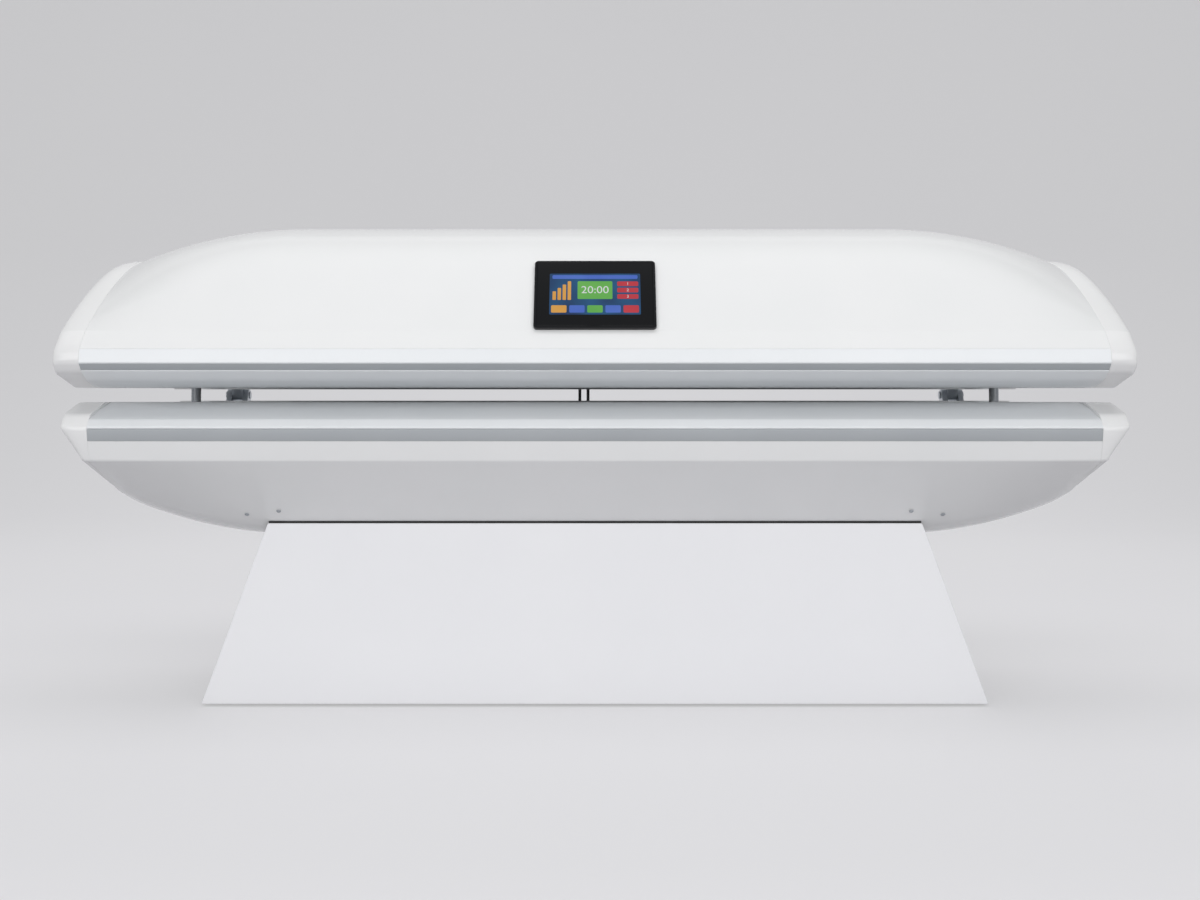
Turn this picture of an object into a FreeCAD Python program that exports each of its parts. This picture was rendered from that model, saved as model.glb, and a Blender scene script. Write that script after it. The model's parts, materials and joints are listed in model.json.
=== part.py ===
import FreeCAD, Part
import Sketcher
import math
import os
from FreeCAD import Placement, Rotation, Vector

# Clamshell light therapy bed. Units: mm. X runs along the bed, the front faces -Y, the floor is Z = 0.
# Lip sections are written as (u, w): u is the depth behind a lip's nose, w the distance from the mid-plane
# of the gap, upwards for the canopy and downwards for the tray.

DIMENSIONS = (
    ("bed_depth", 930, "front nose to rear nose"),
    ("gap_height", 598, "mid-plane of the gap above the floor"),
    ("lip_gap", 27, "gap between the two lips"),
    ("seam_x", 950, "centre to the end-cap seam"),
    ("canopy_cap", 50, "length of a canopy end cap"),
    ("tray_cap", 36, "length of a tray end cap"),
    ("canopy_cap_tall", 0.94, "height of a canopy cap at its end, as a share of the seam"),
    ("tray_cap_tall", 0.8, "the same for a tray cap"),
    ("cap_wide", 0.985, "depth of a cap at its end, as a share of the seam"),
    ("taper_length", 350, "tapered end of the shells"),
    ("straight_x", "=seam_x - taper_length", "half length of the untapered shells"),
    ("lip_inset", 140, "depth of the bevel under the nose"),
    ("ledge", 18, "flat inner ledge of a rail"),
    ("rail_wall", 4, "wall of the rail extrusion"),
    ("bevel_w", 45, "where the bevel meets the nose facet"),
    ("bevel_u", 13, "depth of the nose facet"),
    ("nose_w", 60, "foremost edge of the rail"),
    ("rail_top_w", 85, "where rail and shell meet"),
    ("rail_top_u", 4, "set-back of the rail's outer edge"),
    ("canopy_flange_u", 36, "canopy crease behind the nose"),
    ("canopy_flange_w", 120, "canopy crease above the gap"),
    ("tray_flange_u", 14, "tray crease behind the nose"),
    ("tray_flange_w", 122, "tray crease below the gap"),
    ("shell_wall", 4, "wall of both shells and of the caps"),
    ("canopy_crown", 352, "canopy crown above the gap"),
    ("canopy_end_crown", 286, "canopy crown at the seam"),
    ("canopy_shoulder", 0.259, "tangent of the shoulder as a share of crease to roof"),
    ("canopy_end_shoulder", 0.445, "the same at the seam"),
    ("crown_radius", 900, "radius of the canopy roof"),
    ("crown_end_radius", 520, "the same at the seam"),
    ("crown_angle", 16, "half angle of the canopy roof, degrees"),
    ("crown_end_angle", 22, "the same at the seam"),
    ("tray_drop", 278, "tray floor below the gap"),
    ("tray_end_drop", 199, "tray floor at the seam"),
    ("tray_shoulder", 0.192, "tangent of the tray's shoulder as a share of crease to floor"),
    ("tray_end_shoulder", 0.16, "the same at the seam"),
    ("tray_side", 255, "nose to the tray's flat floor"),
    ("tunnel_side", 150, "nose to the tunnel at the lips"),
    ("tunnel_half", "=bed_depth / 2 - tunnel_side", "half width of the tunnel at the lips"),
    ("tunnel_rise", "=tunnel_half * 43 / 63", "acrylic above the gap"),
    ("trough_drop", "=tunnel_half * 29 / 63", "acrylic below the gap"),
    ("acrylic_wall", 5, "acrylic and end trims"),
    ("acrylic_margin", 70, "end of the acrylic to the seam"),
    ("acrylic_x", "=seam_x - acrylic_margin", "half length of the acrylic"),
    ("board_gap", 25, "acrylic to LED boards"),
    ("board_margin", 12, "end of the LED boards to the end of the acrylic"),
    ("board_x", "=acrylic_x - board_margin", "half length of the LED boards"),
    ("board_width", 62, "width of one LED board"),
    ("board_wall", 2, "thickness of one LED board"),
    ("rib_wall", 8, "thickness of a rib"),
    ("hinge_inset", 50, "hinge axis in front of the rear nose"),
    ("hinge_margin", 80, "centre of a hinge to the seam"),
    ("hinge_x", "=seam_x - hinge_margin", "centre of a hinge"),
    ("pin_radius", 6, "hinge pin"),
    ("running_fit", 0.05, "radial play of pins in bores"),
    ("knuckle_radius", 14, "hinge knuckle"),
    ("leaf_width", 48, "seat of a hinge leaf"),
    ("spring_margin", 28, "centre plane of a gas spring to the seam"),
    ("spring_x", "=seam_x - spring_margin", "centre plane of a gas spring"),
    ("spring_arm", 240, "gas spring pivots to the hinge axis"),
    ("upper_clearance", 17.1, "upper gas spring pivot outside the lit surface"),
    ("lower_clearance", 40.7, "lower gas spring pivot outside the lit surface"),
    ("cylinder_radius", 11, "gas spring cylinder"),
    ("rod_radius", 5, "gas spring rod"),
    ("pivot_radius", 5, "gas spring pivots"),
    ("fan_size", 120, "square fan frame"),
    ("fan_depth", 25, "fan frame"),
    ("fan_bore", 114, "bore of the fan frame"),
    ("fan_x", 300, "centre of a fan"),
    ("screen_width", 230, "screen bezel"),
    ("screen_height", 158, "screen bezel"),
    ("screen_depth", 7, "screen bezel"),
    ("overhang_x", 312, "seam to the pedestal's top edge"),
    ("overhang_y", 160, "nose to the pedestal's top edge"),
    ("flare_x", 119, "pedestal's foot beyond its top, along the bed"),
    ("flare_y", 45, "the same across the bed"),
    ("pedestal_head", 250, "gap to the pedestal's top edge"),
    ("pedestal_top_x", "=seam_x - overhang_x", "half length of the pedestal at its top"),
    ("pedestal_foot_x", "=pedestal_top_x + flare_x", "half length of the pedestal at the floor"),
    ("pedestal_top_y", "=bed_depth / 2 - overhang_y", "half depth of the pedestal at its top"),
    ("pedestal_foot_y", "=pedestal_top_y + flare_y", "half depth of the pedestal at the floor"),
    ("pedestal_top_z", "=gap_height - pedestal_head", "top edge of the front panel"),
    ("panel_wall", 3, "pedestal panels"),
    ("panel_lift", 5, "panels above the floor"),
    ("tube", 40, "square tube of the frame"),
    ("tube_wall", 3, "wall of the tube"),
    ("glide", 12, "height of the rubber glides"),
    ("frame_inset_x", 67, "floor frame inside the pedestal's foot, along the bed"),
    ("frame_inset_y", 40, "the same across the bed"),
    ("upright_inset_x", 210, "upright inside the end of the floor frame"),
    ("upright_inset_y", 150, "upright inside the side of the floor frame"),
    ("frame_x", "=pedestal_foot_x - frame_inset_x", "half length of the floor frame"),
    ("frame_y", "=pedestal_foot_y - frame_inset_y", "half depth of the floor frame"),
    ("upright_x", "=frame_x - upright_inset_x", "centre of an upright"),
    ("upright_y", "=frame_y - upright_inset_y", "centre of an upright"),
)

doc = FreeCAD.newDocument("light_bed")
sheet = doc.addObject("Spreadsheet::Sheet", "dims")
for row, (alias, value, note) in enumerate(DIMENSIONS, start=1):
    sheet.set(f"A{row}", note)
    sheet.set(f"B{row}", str(value))
    sheet.setAlias(f"B{row}", alias)
doc.recompute()


def dim(alias):
    """Value of one driving dimension."""
    return float(getattr(sheet, alias))


HALF_DEPTH = dim("bed_depth") / 2
GAP_Z = dim("gap_height")
LIP_W = dim("lip_gap") / 2
SEAM_X = dim("seam_x")
WALL = dim("shell_wall")
HINGE_Y = HALF_DEPTH - dim("hinge_inset")
SEAT = 0.3
X_AXIS = Vector(1, 0, 0)
UP = 1
DOWN = -1
FRONT = -1
REAR = 1
LEFT = -1
RIGHT = 1
nodes = []


def keep(obj, label):
    """Name a finished sub-part and queue it for export."""
    obj.Label = label
    nodes.append(obj)
    return obj


# Helpers for parametric bodies

def origin_plane(body, role):
    """One of the body's own origin planes."""
    return next(f for f in body.Origin.OriginFeatures if f.Role == role)


def new_body(name):
    """An empty PartDesign body."""
    return doc.addObject("PartDesign::Body", name)


def new_sketch(body, role, offset=None):
    """A sketch on an origin plane of the body, moved along the plane's normal by an expression."""
    sketch = body.newObject("Sketcher::SketchObject", body.Name + "_sketch")
    sketch.AttachmentSupport = [(origin_plane(body, role), "")]
    sketch.MapMode = "FlatFace"
    if offset is not None:
        sketch.setExpression("AttachmentOffset.Base.z", offset)
    return sketch


def bind(sketch, kind, geo, point, expression, start):
    """Tie a point of the sketch to the sketch's origin by an expression."""
    index = sketch.addConstraint(Sketcher.Constraint(kind, -1, 1, geo, point, start))
    sketch.setExpression(f"Constraints[{index}]", expression)


def polygon(sketch, corners):
    """Closed outline whose corners are pairs of expressions."""
    count = len(corners)
    turn = 2 * math.pi / count
    guess = [Vector(100 * math.cos(turn * i), 100 * math.sin(turn * i), 0) for i in range(count)]
    first = sketch.GeometryCount
    for i in range(count):
        sketch.addGeometry(Part.LineSegment(guess[i], guess[(i + 1) % count]), False)
    for i in range(count):
        follower = first + (i + 1) % count
        sketch.addConstraint(Sketcher.Constraint("Coincident", first + i, 2, follower, 1))
    for i, (x_text, y_text) in enumerate(corners):
        bind(sketch, "DistanceX", first + i, 1, x_text, guess[i].x)
        bind(sketch, "DistanceY", first + i, 1, y_text, guess[i].y)


def rectangle(sketch, width, height, x_text="0", y_text="0"):
    """Rectangle around a centre, all four values as expressions."""
    left = f"({x_text}) - ({width}) / 2"
    right = f"({x_text}) + ({width}) / 2"
    low = f"({y_text}) - ({height}) / 2"
    high = f"({y_text}) + ({height}) / 2"
    polygon(sketch, [(left, low), (right, low), (right, high), (left, high)])


def circle(sketch, radius, x_text="0", y_text="0"):
    """Circle whose centre and radius are expressions."""
    geo = sketch.addGeometry(Part.Circle(Vector(10, 10, 0), Vector(0, 0, 1), 10), False)
    index = sketch.addConstraint(Sketcher.Constraint("Radius", geo, 10))
    sketch.setExpression(f"Constraints[{index}]", radius)
    bind(sketch, "DistanceX", geo, 3, x_text, 10)
    bind(sketch, "DistanceY", geo, 3, y_text, 10)


def pad(body, sketch, length, both=False, back=False):
    """Pad a sketch by an expression."""
    feature = body.newObject("PartDesign::Pad", body.Name + "_pad")
    feature.Profile = sketch
    feature.setExpression("Length", length)
    feature.Midplane = both
    feature.Reversed = back
    doc.recompute()
    return feature


def pocket(body, sketch, length, both=False, back=False):
    """Pocket a sketch by an expression."""
    feature = body.newObject("PartDesign::Pocket", body.Name + "_pocket")
    feature.Profile = sketch
    feature.setExpression("Length", length)
    feature.Midplane = both
    feature.Reversed = back
    doc.recompute()
    return feature


def turn(body, sketch):
    """Full revolution of a sketch about the body's X axis."""
    feature = body.newObject("PartDesign::Revolution", body.Name + "_turn")
    feature.Profile = sketch
    feature.ReferenceAxis = (sketch, ["H_Axis"])
    feature.Angle = 360
    doc.recompute()
    return feature


def polar(body, features, axis_sketch, count):
    """Repeat features around the normal of a sketch."""
    pattern = body.newObject("PartDesign::PolarPattern", body.Name + "_polar")
    pattern.Originals = features
    pattern.Axis = (axis_sketch, ["N_Axis"])
    pattern.Angle = 360
    pattern.Occurrences = count
    body.Tip = pattern
    doc.recompute()
    return pattern


def linear(body, features, sketch, axis, length, count):
    """Repeat features along an axis of a sketch."""
    pattern = body.newObject("PartDesign::LinearPattern", body.Name + "_linear")
    pattern.Originals = features
    pattern.Direction = (sketch, [axis])
    pattern.setExpression("Length", length)
    pattern.Occurrences = count
    body.Tip = pattern
    doc.recompute()
    return pattern


def box(name, size, corner):
    """Part box whose sizes and corner are expressions."""
    obj = doc.addObject("Part::Box", name)
    for prop, text in zip(("Length", "Width", "Height"), size):
        obj.setExpression(prop, text)
    for prop, text in zip(("x", "y", "z"), corner):
        obj.setExpression(f"Placement.Base.{prop}", text)
    return obj


def cylinder(name, radius, height, foot):
    """Upright Part cylinder whose sizes and foot are expressions."""
    obj = doc.addObject("Part::Cylinder", name)
    obj.setExpression("Radius", radius)
    obj.setExpression("Height", height)
    for prop, text in zip(("x", "y", "z"), foot):
        obj.setExpression(f"Placement.Base.{prop}", text)
    return obj


def cut(name, base, tool):
    """Boolean difference of two document objects."""
    obj = doc.addObject("Part::Cut", name)
    obj.Base = base
    obj.Tool = tool
    return obj


def group(label, members):
    """Several separate solids that share one node."""
    obj = doc.addObject("Part::Compound", label)
    obj.Links = members
    return keep(obj, label)


def solid(label, shape):
    """Sub-part whose shape is worked out from the sheet's values."""
    obj = doc.addObject("Part::Feature", label)
    obj.Shape = shape
    return obj


# Sections of the shells

def at(x, side, up, u, w):
    """Point of a lip section in the frame of the bed."""
    return Vector(x, side * (HALF_DEPTH - u), GAP_Z + up * w)


def taper(x):
    """Share of the end taper that is reached at a station."""
    run = max(0.0, abs(x) - dim("straight_x")) / (SEAM_X - dim("straight_x"))
    return run ** 2


def blend(start, end, share):
    """Linear mix of two driving dimensions."""
    return dim(start) + (dim(end) - dim(start)) * share


def inward(angle):
    """Normal into the shell of a line that climbs at an angle."""
    return Vector(math.sin(angle), -math.cos(angle), 0)


def half_section(up, x, inset):
    """Half of a shell section: rail edge, crease, shoulder arc (three points), inset inwards by a wall."""
    share = taper(x)
    if up == UP:
        rise = blend("canopy_crown", "canopy_end_crown", share)
        reach = blend("canopy_shoulder", "canopy_end_shoulder", share)
        level = math.radians(blend("crown_angle", "crown_end_angle", share))
        roof = blend("crown_radius", "crown_end_radius", share)
        joint = Vector(HALF_DEPTH - roof * math.sin(level), rise - roof * (1 - math.cos(level)), 0)
        crease = Vector(dim("canopy_flange_u"), dim("canopy_flange_w"), 0)
    else:
        rise = blend("tray_drop", "tray_end_drop", share)
        reach = blend("tray_shoulder", "tray_end_shoulder", share)
        level = 0.0
        joint = Vector(dim("tray_side"), rise, 0)
        crease = Vector(dim("tray_flange_u"), dim("tray_flange_w"), 0)
    tangent = reach * (joint - crease).Length
    knee = joint - Vector(math.cos(level), math.sin(level), 0) * tangent
    slope = math.atan2(knee.y - crease.y, knee.x - crease.x)
    shoulder = knee - Vector(math.cos(slope), math.sin(slope), 0) * tangent
    radius = tangent / math.tan((slope - level) / 2)
    half_turn = (slope + level) / 2
    middle = joint + (inward(level) - inward(half_turn)) * radius
    flange = crease - Vector(dim("rail_top_u"), dim("rail_top_w"), 0)
    flange_normal = Vector(flange.y, -flange.x, 0).normalize()
    spread = (flange_normal + inward(slope)) * (inset / (1 + flange_normal.dot(inward(slope))))
    crease += spread
    shoulder += inward(slope) * inset
    middle += inward(half_turn) * inset
    joint += inward(level) * inset
    edge_w = dim("rail_top_w") + SEAT
    edge_u = crease.x - (crease.y - edge_w) * flange.x / flange.y
    points = [(p.x, p.y) for p in (crease, shoulder, middle, joint)]
    return ((edge_u, edge_w), *points, rise - inset)


def section_edges(up, x, inset, start):
    """Edges of an open section from front to rear; start lists the points before the crease."""
    edge, crease, shoulder, middle, joint, rise = half_section(up, x, inset)
    lead = list(start) if start else [edge]
    front = [at(x, FRONT, up, u, w) for u, w in lead + [crease, shoulder]]
    rear = [at(x, REAR, up, u, w) for u, w in lead + [crease, shoulder]]
    front_arc = [at(x, FRONT, up, u, w) for u, w in (shoulder, middle, joint)]
    rear_arc = [at(x, REAR, up, u, w) for u, w in (joint, middle, shoulder)]
    edges = [Part.makeLine(a, b) for a, b in zip(front, front[1:])]
    edges.append(Part.Arc(*front_arc).toShape())
    if up == UP:
        edges.append(Part.Arc(front_arc[2], Vector(x, 0, GAP_Z + up * rise), rear_arc[0]).toShape())
    else:
        edges.append(Part.makeLine(front_arc[2], rear_arc[0]))
    edges.append(Part.Arc(*rear_arc).toShape())
    back = rear[::-1]
    edges += [Part.makeLine(a, b) for a, b in zip(back, back[1:])]
    edges.append(Part.makeLine(back[-1], front[0]))
    return edges


def section_wire(up, x, inset, start=None):
    """Closed section of a shell."""
    return Part.Wire(section_edges(up, x, inset, start))


TAPER_STEPS = (0.0, 0.2, 0.4, 0.6, 0.8, 1.0)


def stations(reach):
    """Stations along the bed; the tapered ends get several."""
    end = [dim("straight_x") + (reach - dim("straight_x")) * step for step in TAPER_STEPS]
    return [-x for x in reversed(end)] + end


def shell_shape(up):
    """Thin shell: outer loft less inner loft."""
    outer = Part.makeLoft([section_wire(up, x, 0) for x in stations(SEAM_X)], True, True)
    below = dim("rail_top_w") - 6

    def inner_start(x):
        edge, crease = half_section(up, x, WALL)[:2]
        fall = (crease[0] - edge[0]) / (crease[1] - edge[1])
        return [(edge[0] - (edge[1] - below) * fall, below)]

    wires = [section_wire(up, x, WALL, inner_start(x)) for x in stations(SEAM_X)]
    inner = Part.makeLoft(wires, True, True)
    return outer.cut(inner)


def arc_radius(up):
    """Radius of the lit surface that faces the user, and the height of its centre."""
    edge_w = LIP_W + dim("rail_wall") + SEAT
    rise = dim("tunnel_rise") if up == UP else dim("trough_drop")
    height = rise - edge_w
    radius = (dim("tunnel_half") ** 2 + height ** 2) / (2 * height)
    return radius, GAP_Z + up * (rise - radius)


def lit_cylinder(up, radius, x_from, x_to):
    """Cylinder about the axis of the lit surface."""
    centre = arc_radius(up)[1]
    return Part.makeCylinder(radius, x_to - x_from, Vector(x_from, 0, centre), X_AXIS)


# Rails: a tongue stands behind the shell's flange, given as steps (u, w) from the rail's outer edge

CANOPY_TONGUE = ((6.2, 0.0), (15.2, 9.8), (17.4, 7.8), (7.4, -3.2))
TRAY_TONGUE = ((4.8, 0.0), (8.4, 13.5), (11.3, 12.7), (7.4, -3.2))


def rail(label, side, up):
    """Aluminium lip rail with a bevel, a nose facet and a tongue behind the shell's edge."""
    body = new_body(label)
    sketch = new_sketch(body, "YZ_Plane")
    t = "dims.rail_wall"
    lip = "dims.lip_gap / 2"
    section = [
        ("dims.lip_inset + dims.ledge", lip),
        ("dims.lip_inset", lip),
        ("dims.bevel_u", "dims.bevel_w"),
        ("0", "dims.nose_w"),
        ("dims.rail_top_u", "dims.rail_top_w"),
    ]
    for step_u, step_w in CANOPY_TONGUE if up == UP else TRAY_TONGUE:
        section.append((f"dims.rail_top_u + {step_u}", f"dims.rail_top_w + {step_w}"))
    section += [
        (f"dims.rail_top_u + 0.9 * {t}", "dims.rail_top_w - 4"),
        (f"1.05 * {t}", f"dims.nose_w + 0.3 * {t}"),
        (f"dims.bevel_u + 0.575 * {t}", f"dims.bevel_w + 0.875 * {t}"),
        (f"dims.lip_inset + 0.15 * {t}", f"{lip} + {t}"),
        ("dims.lip_inset + dims.ledge", f"{lip} + {t}"),
    ]
    corners = []
    for u_text, w_text in section:
        y_text = f"{side} * (dims.bed_depth / 2 - ({u_text}))"
        corners.append((y_text, f"dims.gap_height + {up} * ({w_text})"))
    polygon(sketch, corners)
    pad(body, sketch, "2 * dims.seam_x", both=True)
    return keep(body, label)


def lit_band(body, up, x_from, length, inner, outer):
    """Arc-shaped sheet between the two ledges of a tunnel half."""
    radius, centre = arc_radius(up)
    edge_z = GAP_Z + up * (LIP_W + dim("rail_wall") + SEAT)
    sketch = new_sketch(body, "YZ_Plane", x_from)
    lift = edge_z - centre
    edges = []
    for r in (radius, radius + dim("acrylic_wall")):
        reach = math.sqrt(r ** 2 - lift ** 2)
        edges.append((r, reach))
    for r, reach in edges:
        start = math.atan2(lift, reach)
        end = math.pi - start
        if up == DOWN:
            start, end = math.atan2(lift, -reach), math.atan2(lift, reach)
        arc = Part.ArcOfCircle(Part.Circle(Vector(0, centre, 0), Vector(0, 0, 1), r), start, end)
        sketch.addGeometry(arc, False)
    for point in (1, 2):
        sign = 1 if (point == 1) == (up == UP) else -1
        ends = [Vector(sign * reach, edge_z, 0) for r, reach in edges]
        sketch.addGeometry(Part.LineSegment(ends[0], ends[1]), False)
    for line, point in ((2, 1), (3, 2)):
        sketch.addConstraint(Sketcher.Constraint("Coincident", 0, point, line, 1))
        sketch.addConstraint(Sketcher.Constraint("Coincident", 1, point, line, 2))
        sketch.addConstraint(Sketcher.Constraint("Horizontal", line))
    sketch.addConstraint(Sketcher.Constraint("Coincident", 0, 3, 1, 3))
    sketch.addConstraint(Sketcher.Constraint("PointOnObject", 0, 3, -2))
    for geo, text, value in ((0, inner, edges[0][0]), (1, outer, edges[1][0])):
        index = sketch.addConstraint(Sketcher.Constraint("Radius", geo, value))
        sketch.setExpression(f"Constraints[{index}]", text)
    rise = "dims.tunnel_rise" if up == UP else "dims.trough_drop"
    bind(sketch, "DistanceY", 0, 3, f"dims.gap_height + {up} * ({rise} - {inner})", centre)
    edge_text = f"dims.gap_height + {up} * (dims.lip_gap / 2 + dims.rail_wall + {SEAT})"
    bind(sketch, "DistanceY", 2, 1, edge_text, edge_z)
    bind(sketch, "DistanceY", 3, 1, edge_text, edge_z)
    pad(body, sketch, length)


def band_radii(up):
    """Expressions for the two radii of a lit sheet."""
    rise = "dims.tunnel_rise" if up == UP else "dims.trough_drop"
    height = f"({rise} - dims.lip_gap / 2 - dims.rail_wall - {SEAT})"
    inner = f"(dims.tunnel_half * dims.tunnel_half + {height} * {height}) / (2 * {height})"
    return f"({inner})", f"({inner}) + dims.acrylic_wall"


def acrylic(label, up):
    """Clear curved sheet in front of the LED boards."""
    body = new_body(label)
    lit_band(body, up, "-dims.acrylic_x", "2 * dims.acrylic_x", *band_radii(up))
    return keep(body, label)


def end_trims(label, up):
    """White strips that carry the lit surface on to the caps, slotted for the gas springs."""
    trims = []
    start = "dims.acrylic_x + dims.rib_wall + 2"
    length = f"dims.seam_x - dims.acrylic_x - dims.rib_wall - 2 - {SEAT}"
    for end in (LEFT, RIGHT):
        body = new_body(f"{label}_{end + 1}")
        x_from = start if end == RIGHT else f"-(dims.seam_x - {SEAT})"
        lit_band(body, up, x_from, length, *band_radii(up))
        slot = new_sketch(body, "XY_Plane", "dims.gap_height")
        y_text = "dims.bed_depth / 2 - dims.hinge_inset - 0.75 * dims.spring_arm"
        rectangle(slot, "2 * dims.cylinder_radius + 8", "82", f"{end} * dims.spring_x", y_text)
        pocket(body, slot, "dims.tunnel_rise", back=(up == UP))
        trims.append(body)
    return group(label, trims)


def led_boards(label, up, count):
    """Flat boards side by side on a curve behind the acrylic."""
    radius, centre = arc_radius(up)
    reach = radius + dim("acrylic_wall") + dim("board_gap")
    width = dim("board_width")
    step = 2 * math.atan2((width + 1.5) / 2, reach)
    boards = []
    for i in range(count):
        angle = (i - (count - 1) / 2) * step
        board = doc.addObject("Part::Box", f"{label}_{i}")
        board.setExpression("Length", "2 * dims.board_x")
        board.setExpression("Width", "dims.board_width")
        board.setExpression("Height", "dims.board_wall")
        seat = Placement(Vector(-dim("board_x"), -width / 2, reach), Rotation())
        roll = math.degrees(angle) if up == UP else 180 + math.degrees(angle)
        board.Placement = Placement(Vector(0, 0, centre), Rotation(X_AXIS, roll)).multiply(seat)
        boards.append(board)
    return group(label, boards)


def rib_shape(up, x, board_radius):
    """One former between shell and lit surface."""
    half = dim("rib_wall") / 2
    far = abs(x) + half
    foot_w = dim("rail_top_w") + 14
    edge, crease = half_section(up, far, WALL + 0.5)[:2]
    fall = (crease[0] - edge[0]) / (crease[1] - edge[1])
    start = [(edge[0] + (foot_w - edge[1]) * fall, foot_w)]
    face = Part.Face(section_wire(up, far, WALL + 0.5, start))
    face.translate(Vector(x - half - far, 0, 0))
    plate = face.extrude(Vector(2 * half, 0, 0))
    return plate.cut(lit_cylinder(up, board_radius, x - half - 1, x + half + 1))


def ribs(label, up):
    """Formers along a shell; the end ones reach the acrylic and carry the gas springs."""
    radius = arc_radius(up)[0] + dim("acrylic_wall")
    board = math.hypot(radius + dim("board_gap") + dim("board_wall"), dim("board_width") / 2)
    end_x = dim("acrylic_x") + dim("rib_wall") / 2 + 1
    near_x = dim("fan_x") - dim("fan_size")
    far_x = dim("fan_x") + dim("fan_size")
    plates = [rib_shape(up, x, board + SEAT) for x in (-far_x, -near_x, near_x, far_x)]
    plates += [rib_shape(up, x, radius + 0.4) for x in (-end_x, end_x)]
    return keep(solid(label, Part.makeCompound(plates)), label)


# End caps

CAP_STEPS = (0.0, 0.45, 0.7, 0.87, 0.96, 1.0)


def cap_size(step, end):
    """Share of the seam's size at a step along a cap, rounded over towards the end's share."""
    return 1 - (1 - end) * (1 - math.sqrt(1 - step ** 3))


def cap_wire(up, x, tall, wide, inset):
    """Full outline of a cap at a station: lip plane, nose, flange, shoulder and roof."""
    lip = LIP_W + (inset if inset else 0)
    nose = [
        (dim("lip_inset") + dim("ledge"), lip),
        (dim("lip_inset") + 2 * inset, lip),
        (dim("bevel_u") + 0.6 * inset, dim("bevel_w") + 0.8 * inset),
        (inset, dim("nose_w")),
        (dim("rail_top_u") + inset, dim("rail_top_w")),
    ]
    wire = section_wire(up, SEAM_X, inset, nose)
    matrix = FreeCAD.Matrix()
    matrix.move(Vector(-SEAM_X, 0, -(GAP_Z + up * LIP_W)))
    matrix.scale(Vector(1, wide, tall))
    matrix.move(Vector(x, 0, GAP_Z + up * LIP_W))
    return wire.transformGeometry(matrix)


def cap(label, end, up):
    """Hollow rounded end cap with the open mouth of the tunnel."""
    length = dim("canopy_cap") if up == UP else dim("tray_cap")
    end_tall = dim("canopy_cap_tall") if up == UP else dim("tray_cap_tall")
    start = SEAM_X + SEAT

    def loft(inset, reach):
        wires = []
        for step in CAP_STEPS:
            tall = cap_size(step, end_tall)
            wide = cap_size(step, dim("cap_wide"))
            wires.append(cap_wire(up, start + step * reach, tall, wide, inset))
        return Part.makeLoft(wires, True, True)

    radius = arc_radius(up)[0]
    mouth = lit_cylinder(up, radius, start - 20, start + length + 20)
    liner = lit_cylinder(up, radius + WALL, start - 20, start + length + 20)
    cavity = loft(WALL, length - SEAT - WALL).cut(liner)
    shape = loft(0, length - SEAT).cut(mouth).cut(cavity)
    if end == LEFT:
        shape = shape.mirror(Vector(0, 0, 0), X_AXIS)
    return keep(solid(label, shape), label)


# Seats on the sloped fronts and on the tray's floor

CREASE_CLEARANCE = 1


def panel_seat(side, x, height):
    """Placement on the sloped panel of the canopy for a piece of a height: Z outwards, Y up the slope.

    A piece higher than the panel stands clear of the crease below it.
    """
    crease, shoulder = half_section(UP, 0, 0)[1:3]
    run_u = shoulder[0] - crease[0]
    run_w = shoulder[1] - crease[1]
    panel = math.hypot(run_u, run_w)
    share = max(panel, height + 2 * CREASE_CLEARANCE) / 2 / panel
    slope = math.degrees(math.atan2(run_w, run_u))
    tilt = slope if side == FRONT else -slope
    place = at(x, side, UP, crease[0] + share * run_u, crease[1] + share * run_w)
    return Placement(place, Rotation(X_AXIS, tilt))


def screen_seat():
    """Placement of the screen on the front of the canopy."""
    return panel_seat(FRONT, 0, dim("screen_height"))


def floor_seat(x):
    """Placement on the underside of the tray: Z points down."""
    return Placement(Vector(x, 0, GAP_Z - dim("tray_drop")), Rotation(X_AXIS, 180))


# Fans

def fan_frame(name, seat):
    """Square fan frame with a spider that carries the motor."""
    body = new_body(name)
    ring = new_sketch(body, "XY_Plane", f"-dims.shell_wall - dims.fan_depth - {SEAT}")
    rectangle(ring, "dims.fan_size", "dims.fan_size")
    circle(ring, "dims.fan_bore / 2")
    pad(body, ring, "dims.fan_depth")
    spoke = new_sketch(body, "XY_Plane", f"-dims.shell_wall - dims.fan_depth - {SEAT}")
    rectangle(spoke, "dims.fan_bore + 2", "5")
    pad(body, spoke, "3")
    cross = new_sketch(body, "XY_Plane", f"-dims.shell_wall - dims.fan_depth - {SEAT}")
    rectangle(cross, "5", "dims.fan_bore + 2")
    pad(body, cross, "3")
    hub = new_sketch(body, "XY_Plane", f"-dims.shell_wall - dims.fan_depth - {SEAT}")
    circle(hub, "19")
    pad(body, hub, "4")
    stub = new_sketch(body, "XY_Plane", f"-dims.shell_wall - dims.fan_depth - {SEAT}")
    circle(stub, "3")
    pad(body, stub, "14")
    holes = new_sketch(body, "XY_Plane", f"-dims.shell_wall - dims.fan_depth - {SEAT}")
    offset = "0.4375 * dims.fan_size"
    for x_sign in (LEFT, RIGHT):
        for y_sign in (FRONT, REAR):
            circle(holes, "2.2", f"{x_sign} * {offset}", f"{y_sign} * {offset}")
    pocket(body, holes, "dims.fan_depth", back=True)
    body.Placement = seat
    return body


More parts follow.
